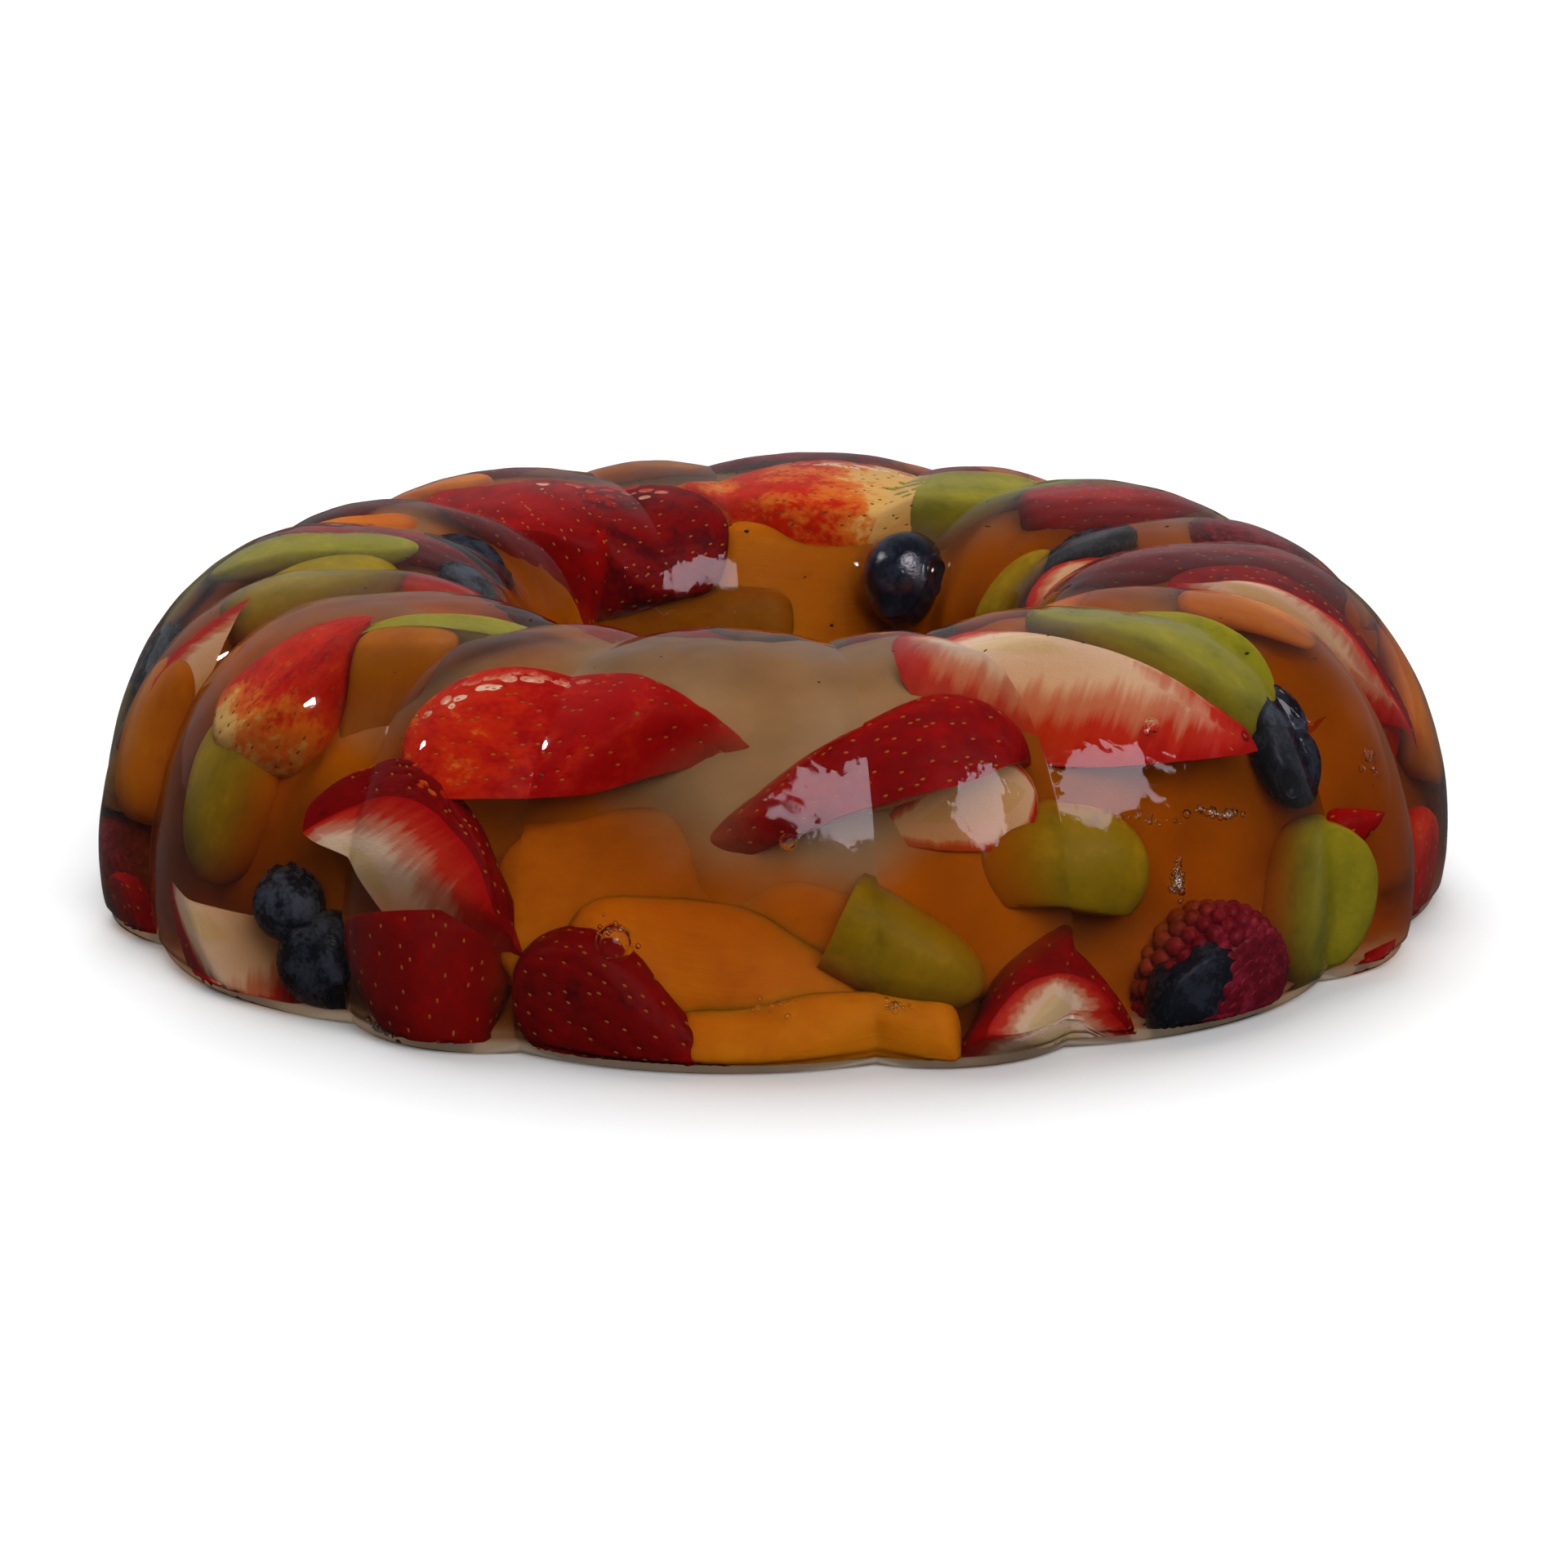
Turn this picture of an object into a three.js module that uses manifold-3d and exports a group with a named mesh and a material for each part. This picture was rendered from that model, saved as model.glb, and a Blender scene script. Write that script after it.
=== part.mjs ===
// A moulded fruit jelly: a ring with lobes all round it, turned out of a fluted mould, and the
// blueberry that stands half out of the wall of its hole.
// Millimetres, +Z up. The origin is on the ring's axis, in the plane of the flat base it rests on.

import * as THREE from 'three';
import Module from 'manifold-3d';
import { mergeVertices } from 'three/addons/utils/BufferGeometryUtils.js';

const wasm = await Module();
wasm.setup();

// The ring's section, as it is in the valleys between two lobes
const CREST_RADIUS = 75.0;
const CREST_HEIGHT = 53.6;
const WIDEST_RADIUS = 106.4;
const WIDEST_HEIGHT = 10.7;
const BASE_RADIUS = 104.7;
const BASE_EDGE_ROUNDING = 2.4;
const HOLE_RADIUS = 38.3;
const HOLE_THROAT_HEIGHT = 22.0;
const HOLE_BASE_RADIUS = 37.0;
const HOLE_EDGE_ROUNDING = 1.5;
const OUTER_ROUNDNESS = 2; // exponent of the outer quarter: an ellipse
const INNER_ROUNDNESS = 3; // exponent of the inner quarter: squarer than an ellipse

// The lobes: wide and narrow ones take turns, with a sharp valley between each two. They run over
// the crest and fade out on the wall of the hole, which is round.
const LOBE_PAIRS = 8;
const WIDE_LOBE_ANGLE = 29.0;
const FIRST_LOBE_ANGLE = -6.1; // middle of a wide lobe, from the front (-Y) towards +X
const WIDE_LOBE = { outward: 3.65, upward: 2.4, steps: 10 };
const NARROW_LOBE = { outward: 4.4, upward: 1.4, steps: 6 };

// How many steps each stretch of the section takes
const STEPS = { base: 3, baseEdge: 3, wall: 2, outerQuarter: 11, innerQuarter: 10, throat: 2 };

// The blueberry in the far wall of the hole
const BERRY_WIDTH = 16.0;
const BERRY_LENGTH = 13.4; // along the axis through its crown
const BERRY_PLACE = new THREE.Vector3(22.4, 37.6, 41.6);
const CROWN_TILT = 80; // degrees from upright, towards the side
const CROWN_TURN = -32; // degrees from +X, towards the front
const CROWN_RADIUS = 3.4;
const CROWN_LIP = { radius: 2.45, height: 0.35 }; // its raised ring, above where the body ends
const CROWN_FLOOR = { radius: 1.7, depth: 0.8 };
const CROWN_DEPTH = 1.3;
const BERRY_SIDES = 28;
const BERRY_STEPS = 12;
const POCKET_GAP = 0.3; // between the berry and the jelly that holds it

// Points along one stretch of the outline, without the stretch's own start
function stretch(steps, place) {
  return Array.from({ length: steps }, (_, i) => place((i + 1) / steps));
}

// A point of a quarter superellipse at a turn from 0 (its side) to 1 (its top):
// side and top shares (a, b) with a^n + b^n = 1
function quarter(turn, roundness) {
  const angle = turn * Math.PI / 2;
  const [c, s] = [Math.cos(angle), Math.sin(angle)];
  const reach = (c ** roundness + s ** roundness) ** (-1 / roundness);
  return { side: reach * c, top: reach * s };
}

// The closed outline of the section: radius r and height z in a valley, and the shares of a
// lobe's outward and upward swell that each point takes
function ringOutline() {
  const baseEdge = { r: BASE_RADIUS - BASE_EDGE_ROUNDING, z: BASE_EDGE_ROUNDING };
  const holeEdge = { r: HOLE_BASE_RADIUS + HOLE_EDGE_ROUNDING, z: HOLE_EDGE_ROUNDING };
  const wall = (t) => {
    const z = THREE.MathUtils.lerp(BASE_EDGE_ROUNDING, WIDEST_HEIGHT, t);
    const drop = 1 - z / WIDEST_HEIGHT;
    return { r: WIDEST_RADIUS + (BASE_RADIUS - WIDEST_RADIUS) * drop ** 2, z, outward: 1, upward: 0 };
  };
  const crest = CREST_HEIGHT - WIDEST_HEIGHT;
  const throat = CREST_HEIGHT - HOLE_THROAT_HEIGHT;
  return [
    { r: holeEdge.r, z: 0, outward: 0, upward: 0 },
    ...stretch(STEPS.base, (t) => ({ r: THREE.MathUtils.lerp(holeEdge.r, baseEdge.r, t), z: 0,
      outward: t, upward: 0 })),
    ...stretch(STEPS.baseEdge, (t) => ({ r: baseEdge.r + BASE_EDGE_ROUNDING * Math.sin(t * Math.PI / 2),
      z: baseEdge.z - BASE_EDGE_ROUNDING * Math.cos(t * Math.PI / 2), outward: 1, upward: 0 })),
    ...stretch(STEPS.wall, wall),
    ...stretch(STEPS.outerQuarter, (t) => {
      const q = quarter(t, OUTER_ROUNDNESS);
      return { r: CREST_RADIUS + (WIDEST_RADIUS - CREST_RADIUS) * q.side,
        z: WIDEST_HEIGHT + crest * q.top, outward: q.side, upward: q.top };
    }),
    ...stretch(STEPS.innerQuarter, (t) => {
      const q = quarter(1 - t, INNER_ROUNDNESS);
      return { r: CREST_RADIUS - (CREST_RADIUS - HOLE_RADIUS) * q.side,
        z: HOLE_THROAT_HEIGHT + throat * q.top, outward: 0, upward: q.top };
    }),
    ...stretch(STEPS.throat, (t) => ({ r: THREE.MathUtils.lerp(HOLE_RADIUS, HOLE_BASE_RADIUS, t),
      z: THREE.MathUtils.lerp(HOLE_THROAT_HEIGHT, HOLE_EDGE_ROUNDING, t), outward: 0, upward: 0 })),
    { r: holeEdge.r - HOLE_EDGE_ROUNDING * Math.SQRT1_2, z: HOLE_EDGE_ROUNDING * (1 - Math.SQRT1_2),
      outward: 0, upward: 0 },
  ];
}

// The meridians round the ring: an angle and the swell of the lobe there, which is a parabola
// across each lobe, nothing in the valleys and full in the middle
function ringMeridians() {
  const pairAngle = 360 / LOBE_PAIRS;
  const lobes = [
    { ...WIDE_LOBE, middle: 0, width: WIDE_LOBE_ANGLE },
    { ...NARROW_LOBE, middle: pairAngle / 2, width: pairAngle - WIDE_LOBE_ANGLE },
  ];
  const meridians = [];
  for (let pair = 0; pair < LOBE_PAIRS; pair++) {
    for (const lobe of lobes) {
      for (let step = 0; step < lobe.steps; step++) {
        const across = 2 * step / lobe.steps - 1;
        const degrees = FIRST_LOBE_ANGLE + pair * pairAngle + lobe.middle + across * lobe.width / 2;
        meridians.push({ angle: degrees * THREE.MathUtils.DEG2RAD,
          outward: lobe.outward * (1 - across ** 2), upward: lobe.upward * (1 - across ** 2) });
      }
    }
  }
  return meridians;
}

// The ring before the berry's pocket is cut: the outline carried round the axis, swollen by the lobes
function ringGeometry() {
  const outline = ringOutline();
  const meridians = ringMeridians();
  const positions = [];
  for (const m of meridians) {
    for (const p of outline) {
      const r = p.r + p.outward * m.outward;
      positions.push(r * Math.sin(m.angle), -r * Math.cos(m.angle), p.z + p.upward * m.upward);
    }
  }
  const index = [];
  const at = (m, p) => (m % meridians.length) * outline.length + (p % outline.length);
  for (let m = 0; m < meridians.length; m++) {
    for (let p = 0; p < outline.length; p++) {
      index.push(at(m, p), at(m + 1, p), at(m + 1, p + 1));
      index.push(at(m, p), at(m + 1, p + 1), at(m, p + 1));
    }
  }
  const geometry = new THREE.BufferGeometry();
  geometry.setAttribute('position', new THREE.Float32BufferAttribute(positions, 3));
  geometry.setIndex(index);
  return geometry;
}

// The outside of a berry on its own axis, up to the lip of its crown: an ellipse turned round,
// and fatter all over by grow
function berryOutline(grow) {
  const radius = BERRY_WIDTH / 2 + grow;
  const half = BERRY_LENGTH / 2 + grow;
  const crownAngle = Math.PI - Math.asin(CROWN_RADIUS / radius);
  const body = (t) => new THREE.Vector2(radius * Math.sin(t * crownAngle), -half * Math.cos(t * crownAngle));
  const outline = [new THREE.Vector2(0, -half), ...stretch(BERRY_STEPS, body)];
  outline.push(new THREE.Vector2(CROWN_LIP.radius, outline.at(-1).y + CROWN_LIP.height));
  return outline;
}

// An outline turned round its axis, laid over and put in its place in the wall of the hole
function inTheWall(outline) {
  const geometry = new THREE.LatheGeometry(outline, BERRY_SIDES).rotateX(Math.PI / 2);
  geometry.rotateY(CROWN_TILT * THREE.MathUtils.DEG2RAD);
  geometry.rotateZ(CROWN_TURN * THREE.MathUtils.DEG2RAD);
  return geometry.translate(BERRY_PLACE.x, BERRY_PLACE.y, BERRY_PLACE.z);
}

// The berry, with the sunken floor of its crown
function berryGeometry() {
  const outline = berryOutline(0);
  const crown = outline.at(-2).y;
  outline.push(new THREE.Vector2(CROWN_FLOOR.radius, crown - CROWN_FLOOR.depth));
  outline.push(new THREE.Vector2(0, crown - CROWN_DEPTH));
  return inTheWall(outline);
}

// The space it takes in the jelly, closed flat over its crown
function pocketGeometry() {
  const outline = berryOutline(POCKET_GAP);
  outline.push(new THREE.Vector2(0, outline.at(-1).y));
  return inTheWall(outline);
}

// A solid for cutting: positions only, with shared corners merged
function solidOf(geometry) {
  const bare = new THREE.BufferGeometry();
  bare.setAttribute('position', geometry.getAttribute('position'));
  bare.setIndex(geometry.getIndex());
  const merged = mergeVertices(bare, 1e-4);
  return new wasm.Manifold(new wasm.Mesh({
    numProp: 3,
    vertProperties: new Float32Array(merged.getAttribute('position').array),
    triVerts: new Uint32Array(merged.getIndex().array),
  }));
}

function geometryOf(solid) {
  const mesh = solid.getMesh();
  const geometry = new THREE.BufferGeometry();
  geometry.setAttribute('position', new THREE.BufferAttribute(mesh.vertProperties, mesh.numProp));
  geometry.setIndex(new THREE.BufferAttribute(mesh.triVerts, 1));
  geometry.computeVertexNormals();
  return geometry;
}

function named(name, geometry, material) {
  const mesh = new THREE.Mesh(geometry, material);
  mesh.name = name;
  return mesh;
}

const jellyMaterial = new THREE.MeshStandardMaterial({ color: 0xc8894a, roughness: 0.06, metalness: 0,
  transparent: true, opacity: 0.4 });
const berryMaterial = new THREE.MeshStandardMaterial({ color: 0x161a26, roughness: 0.35, metalness: 0 });

const ring = solidOf(ringGeometry()).subtract(solidOf(pocketGeometry()));

const jelly = new THREE.Group();
jelly.add(named('jelly_ring', geometryOf(ring), jellyMaterial));
jelly.add(named('hole_berry', berryGeometry(), berryMaterial));

export default jelly;
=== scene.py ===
"""A moulded jelly ring full of fruit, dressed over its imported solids, with its stage.

The jelly is clear and amber, and the fruit in it is real geometry: strawberries, grapes, mango
slices, blueberries and a raspberry, each pressed against the inside of the mould where it lies.
All lengths are metres, +Z is up and the ring rests on z = 0, with its front towards -Y.
"""

import math
from dataclasses import dataclass, field

import bpy
import numpy as np
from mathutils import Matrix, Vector


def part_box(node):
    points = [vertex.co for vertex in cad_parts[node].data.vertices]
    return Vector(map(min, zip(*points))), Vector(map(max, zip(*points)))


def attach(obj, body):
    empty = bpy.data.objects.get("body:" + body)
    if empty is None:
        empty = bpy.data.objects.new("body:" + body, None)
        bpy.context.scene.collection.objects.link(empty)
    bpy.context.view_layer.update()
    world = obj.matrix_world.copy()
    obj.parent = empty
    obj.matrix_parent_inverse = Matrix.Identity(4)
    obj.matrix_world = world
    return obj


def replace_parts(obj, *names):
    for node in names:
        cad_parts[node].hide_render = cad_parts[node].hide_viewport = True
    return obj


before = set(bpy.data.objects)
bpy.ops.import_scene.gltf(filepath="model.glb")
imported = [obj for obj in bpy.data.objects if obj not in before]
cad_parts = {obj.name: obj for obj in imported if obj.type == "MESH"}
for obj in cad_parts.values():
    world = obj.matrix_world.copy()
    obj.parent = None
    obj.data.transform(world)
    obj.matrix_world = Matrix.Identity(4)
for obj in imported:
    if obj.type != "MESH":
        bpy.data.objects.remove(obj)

bl_info = {
    "name": "Moulded Fruit Jelly",
    "version": (1, 0, 0),
    "blender": (4, 5, 0),
    "location": "View3D > Sidebar > Jelly",
    "description": "A lobed ring of clear jelly full of cut fruit, with its stage",
    "category": "Add Mesh",
}

BODY = "root"
MM = 0.001
SAME_PLACE = 1e-7  # points closer than this are one
NEARLY_NOTHING = 1e-6  # a share that is safe to divide by
TINY = 1e-9
NO_AREA = 1e-12
GOLDEN_ANGLE = math.pi * (3 - math.sqrt(5))

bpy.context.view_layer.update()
RING_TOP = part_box("jelly_ring")[1].z
BERRY_LOW, BERRY_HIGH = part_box("hole_berry")
BERRY_PLACE = np.array((BERRY_LOW + BERRY_HIGH) / 2)

LOBE_RISE = 0.0024  # how far the wide lobes stand above the valleys, at the crest
SECTION_MIDDLE = np.array((0.072, 0.024))  # radius and height of a point well inside the section

# Where the draws of each kind of scattered thing start
FILLING_SEED = 11
BUBBLE_SEED = 5
SPECK_SEED = 8
HOLE_BERRY_NUMBER = 77


# ---------------------------------------------------------------- sizes and colours


class RingSizes(bpy.types.PropertyGroup):
    """The form of the ring."""

    crest_radius: bpy.props.FloatProperty(
        name="Crest radius", description="From the axis to the highest line of the ring",
        default=0.075, unit="LENGTH")
    crest_height: bpy.props.FloatProperty(
        name="Crest height", description="Height of the crest in a valley between two lobes",
        default=RING_TOP - LOBE_RISE, unit="LENGTH")
    widest_radius: bpy.props.FloatProperty(
        name="Widest radius", description="Outer radius in a valley, where the ring is widest",
        default=0.1064, unit="LENGTH")
    widest_height: bpy.props.FloatProperty(
        name="Widest height", description="Height at which the ring is widest",
        default=0.0107, unit="LENGTH")
    base_radius: bpy.props.FloatProperty(
        name="Base radius", description="Outer radius of the flat base in a valley",
        default=0.1047, unit="LENGTH")
    base_rounding: bpy.props.FloatProperty(
        name="Base rounding", description="Radius of the rounded edge round the base",
        default=0.0024, unit="LENGTH")
    hole_radius: bpy.props.FloatProperty(
        name="Hole radius", description="Radius of the hole at the top of its throat",
        default=0.0383, unit="LENGTH")
    throat_height: bpy.props.FloatProperty(
        name="Throat height", description="Height of the nearly straight part of the hole",
        default=0.022, unit="LENGTH")
    hole_base_radius: bpy.props.FloatProperty(
        name="Hole base radius", description="Radius of the hole at its foot",
        default=0.037, unit="LENGTH")
    hole_rounding: bpy.props.FloatProperty(
        name="Hole rounding", description="Radius of the rounded edge at the foot of the hole",
        default=0.0015, unit="LENGTH")
    inner_roundness: bpy.props.FloatProperty(
        name="Inner roundness", description="Exponent of the quarter from crest to hole: 2 is an ellipse",
        default=3.0)
    lobe_pairs: bpy.props.IntProperty(
        name="Lobe pairs", description="How many wide lobes there are, with a narrow one after each",
        default=8)
    wide_angle: bpy.props.FloatProperty(
        name="Wide lobe angle", description="How much of the turn a wide lobe takes",
        default=math.radians(29), subtype="ANGLE")
    first_angle: bpy.props.FloatProperty(
        name="First lobe", description="Middle of a wide lobe, from the front towards the right",
        default=math.radians(-6.1), subtype="ANGLE")
    wide_out: bpy.props.FloatProperty(
        name="Wide lobe swell", description="How far a wide lobe stands out at its middle",
        default=0.00365, unit="LENGTH")
    narrow_out: bpy.props.FloatProperty(
        name="Narrow lobe swell", description="How far a narrow lobe stands out at its middle",
        default=0.0044, unit="LENGTH")
    narrow_rise: bpy.props.FloatProperty(
        name="Narrow lobe rise", description="How far a narrow lobe stands above the valleys",
        default=0.0014, unit="LENGTH")
    ripple: bpy.props.FloatProperty(
        name="Ripple", description="Depth of the slow ripples in the skin of the jelly",
        default=0.00016, unit="LENGTH")


class FruitSizes(bpy.types.PropertyGroup):
    """What lies in the jelly, and how close to its skin."""

    under_skin: bpy.props.FloatProperty(
        name="Under the skin", description="Least jelly over a piece of fruit",
        default=0.0006, unit="LENGTH")
    give: bpy.props.FloatProperty(
        name="Give", description="How softly a piece bends where it meets the mould",
        default=0.0012, unit="LENGTH")
    off_base: bpy.props.FloatProperty(
        name="Off the base", description="Least jelly under a piece of fruit",
        default=0.0016, unit="LENGTH")
    berry_grain: bpy.props.FloatProperty(
        name="Strawberry grain", description="Spacing of the points of a strawberry's surface",
        default=0.00085, unit="LENGTH")
    pit_depth: bpy.props.FloatProperty(
        name="Pit depth", description="Depth of the pit round each strawberry seed",
        default=0.0003, unit="LENGTH")
    seed_spacing: bpy.props.FloatProperty(
        name="Seed spacing", description="Distance between the seeds on a strawberry",
        default=0.0034, unit="LENGTH")
    tries: bpy.props.IntProperty(
        name="Tries", description="How many places are tried for each row of the filling",
        default=900)
    specks: bpy.props.IntProperty(
        name="Specks", description="Tiny dark specks just under the skin", default=230)
    berry_width: bpy.props.FloatProperty(
        name="Hole berry width", description="Width of the blueberry in the wall of the hole",
        default=0.016, unit="LENGTH")
    berry_length: bpy.props.FloatProperty(
        name="Hole berry length", description="Its length along the axis through its crown",
        default=0.0134, unit="LENGTH")
    berry_tilt: bpy.props.FloatProperty(
        name="Hole berry tilt", description="How far its crown is laid over from upright",
        default=math.radians(80), subtype="ANGLE")
    berry_turn: bpy.props.FloatProperty(
        name="Hole berry turn", description="Where its crown points, from +X",
        default=math.radians(-32), subtype="ANGLE")


class Colours(bpy.types.PropertyGroup):
    """The colours of the jelly, the fruit and the floor."""

    jelly: bpy.props.FloatVectorProperty(
        name="Jelly", description="What a thick layer of the jelly lets through",
        subtype="COLOR", size=3, default=(0.85, 0.60, 0.25))
    jelly_strength: bpy.props.FloatProperty(
        name="Jelly strength", description="How strongly the jelly takes up light, for each metre",
        default=66.0)
    jelly_index: bpy.props.FloatProperty(
        name="Refraction", description="Index of refraction of set jelly", default=1.345)
    amber: bpy.props.FloatVectorProperty(
        name="Amber depth", description="The cloudy depth of the jelly, low down", subtype="COLOR", size=3,
        default=(0.32, 0.10, 0.001))
    # Partly painted light: paler than the amber, for the light that the thin jelly under the crest lets
    # through
    beige_and_painted_light: bpy.props.FloatVectorProperty(
        name="Beige depth, partly painted light", description="The cloudy depth of the jelly under its crest", subtype="COLOR",
        size=3, default=(0.235, 0.19, 0.15))
    # Painted glow: how strongly the thin foot of the cloudy depth emits light, though it is no lamp
    painted_foot_glow: bpy.props.FloatProperty(
        name="Painted foot glow", description="Strength of the painted glow on the thin foot of the cloudy depth",
        default=0.45)
    grape: bpy.props.FloatVectorProperty(
        name="Grape", description="Green grape skin and flesh", subtype="COLOR", size=3,
        default=(0.19, 0.172, 0.006))
    mango: bpy.props.FloatVectorProperty(
        name="Mango", description="Ripe mango flesh", subtype="COLOR", size=3,
        default=(0.44, 0.132, 0.001))
    berry: bpy.props.FloatVectorProperty(
        name="Blueberry", description="Blueberry skin where it is wiped clean", subtype="COLOR", size=3,
        default=(0.004, 0.005, 0.010))
    bloom: bpy.props.FloatVectorProperty(
        name="Bloom", description="The dull bloom on a blueberry", subtype="COLOR", size=3,
        default=(0.045, 0.055, 0.085))
    floor: bpy.props.FloatVectorProperty(
        name="Floor", description="The pale floor", subtype="COLOR", size=3, default=(0.78, 0.78, 0.78))


class Studio(bpy.types.PropertyGroup):
    """The camera and the lights."""

    distance: bpy.props.FloatProperty(
        name="Camera distance", description="From the camera to the point it looks at",
        default=0.79992, unit="LENGTH")
    elevation: bpy.props.FloatProperty(
        name="Camera elevation", description="How far the camera looks down",
        default=math.radians(14.694), subtype="ANGLE")
    aim_side: bpy.props.FloatProperty(
        name="Aim to the side", description="X of the point the camera looks at",
        default=0.00184, unit="LENGTH")
    aim_height: bpy.props.FloatProperty(
        name="Aim height", description="Z of the point the camera looks at",
        default=0.01525, unit="LENGTH")
    lens: bpy.props.FloatProperty(
        name="Lens", description="Focal length in millimetres on a 36 mm sensor", default=112.02)
    sky: bpy.props.FloatProperty(
        name="Room light", description="Strength of the even light from all round", default=0.27)
    mirrored_sky: bpy.props.FloatProperty(
        name="Mirrored sky", description="How bright the sky behind is in the wet skin", default=0.22)
    mirrored_room: bpy.props.FloatProperty(
        name="Mirrored room", description="How bright the room in front is in the wet skin", default=0.05)
    daylight: bpy.props.FloatProperty(
        name="Daylight", description="Strength of the broad light from high up", default=2.3)
    front_light: bpy.props.FloatProperty(
        name="Front light", description="Strength of the broad light from the front", default=2.2)
    back_light: bpy.props.FloatProperty(
        name="Back light", description="Strength of the soft light from behind", default=1.1)
    breadth: bpy.props.FloatProperty(
        name="Breadth", description="How broad a patch of sky each of these three lights is",
        default=math.radians(50), subtype="ANGLE")
    window: bpy.props.FloatProperty(
        name="Window glint", description="Power of the torn lamp that only shows as a glint, in watts",
        default=24.0)
    window_tint: bpy.props.FloatVectorProperty(
        name="Window tint", description="Colour of the torn lamp", subtype="COLOR", size=3,
        default=(1.0, 0.90, 1.0))


# ---------------------------------------------------------------- surfaces


@dataclass
class Surface:
    """Triangles in space. values holds a number or vector for each point, marks a number for each
    face, and seats the numbers of the points that seeds lie on."""

    points: np.ndarray
    faces: np.ndarray
    values: dict = field(default_factory=dict)
    marks: dict = field(default_factory=dict)
    seats: np.ndarray = None


def welded(points, faces, values, marks):
    """Merges points that lie together and drops the faces that this leaves without area."""
    key = np.round(points / SAME_PLACE).astype(np.int64)
    _, first, where = np.unique(key, axis=0, return_index=True, return_inverse=True)
    faces = where.reshape(-1)[faces]
    a, b, c = faces.T
    kept = (a != b) & (b != c) & (c != a)
    used, faces = np.unique(faces[kept], return_inverse=True)
    first = first[used]
    return Surface(points[first], faces.reshape(-1, 3), {k: v[first] for k, v in values.items()},
                   {k: v[kept] for k, v in marks.items()})


def surface_of(grid, values=None, marks=None):
    """A grid of points as a closed surface. grid[i, j] is row i and column j; each row closes on
    itself, and the first and last rows are single points. values are (rows, columns[, 3]), and
    marks are (rows - 1, columns), one for each quad."""
    rows, columns = grid.shape[:2]
    at = np.arange(rows * columns).reshape(rows, columns)
    beside = np.roll(at, -1, axis=1)
    a, b, c, d = at[:-1], beside[:-1], beside[1:], at[1:]
    faces = np.stack([np.stack([a, b, c], -1), np.stack([a, c, d], -1)], -2).reshape(-1, 3)
    flat = {k: v.reshape(rows * columns, *v.shape[2:]) for k, v in (values or {}).items()}
    quads = {k: np.repeat(v.reshape(-1), 2) for k, v in (marks or {}).items()}
    return welded(grid.reshape(-1, 3), faces, flat, quads)


def joined(surfaces):
    """Several surfaces as one. A value that one of them lacks is 0 there."""
    points = np.concatenate([s.points for s in surfaces])
    starts = np.cumsum([0] + [len(s.points) for s in surfaces[:-1]])
    faces = np.concatenate([s.faces + start for s, start in zip(surfaces, starts)])
    whole = Surface(points, faces)
    for name in sorted({k for s in surfaces for k in s.values}):
        like = next(s.values[name] for s in surfaces if name in s.values)
        whole.values[name] = np.concatenate(
            [s.values.get(name, np.zeros((len(s.points), *like.shape[1:]))) for s in surfaces])
    for name in sorted({k for s in surfaces for k in s.marks}):
        whole.marks[name] = np.concatenate(
            [s.marks.get(name, np.zeros(len(s.faces))) for s in surfaces])
    return whole


def point_normals(surface):
    """The mean direction of the faces at each point, larger faces counting for more."""
    corners = surface.points[surface.faces]
    across = np.cross(corners[:, 1] - corners[:, 0], corners[:, 2] - corners[:, 0])
    total = np.zeros_like(surface.points)
    for corner in range(3):
        for axis in range(3):
            total[:, axis] += np.bincount(surface.faces[:, corner], across[:, axis], len(total))
    return total / np.maximum(np.linalg.norm(total, axis=1, keepdims=True), NO_AREA)


def uneven(points, kind, rng):
    """Points moved by a slow swirl: three waves of the kind's length, each in a drawn direction,
    push them by the kind's amount along another drawn direction."""
    amount, wave = SWIRLS[kind]
    moved = points.copy()
    for _ in range(3):
        direction = rng.normal(size=3)
        direction *= math.tau / wave / np.linalg.norm(direction)
        push = rng.normal(size=3)
        phase = rng.uniform(0, math.tau)
        moved += amount * np.sin(points @ direction + phase)[:, None] * push / np.linalg.norm(push)
    return moved


def ball(rows, columns):
    """A unit sphere: latitude down the rows and longitude round them, with its poles on X."""
    down = np.linspace(0, math.pi, rows + 1)[:, None]
    around = np.arange(columns) * math.tau / columns
    wide = np.sin(down) * np.ones(columns)
    grid = np.stack([-np.cos(down) * np.ones(columns), wide * np.cos(around), wide * np.sin(around)], -1)
    return surface_of(grid)


def many(shape, places, axes):
    """Copies of a shape, one at each place. axes[k] has the copy's own X, Y and Z as its rows,
    with their lengths as its size."""
    count, size = len(places), len(shape.points)
    points = (shape.points @ axes + places[:, None]).reshape(-1, 3)
    faces = (shape.faces + np.arange(count)[:, None, None] * size).reshape(-1, 3)
    return Surface(points, faces)


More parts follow.
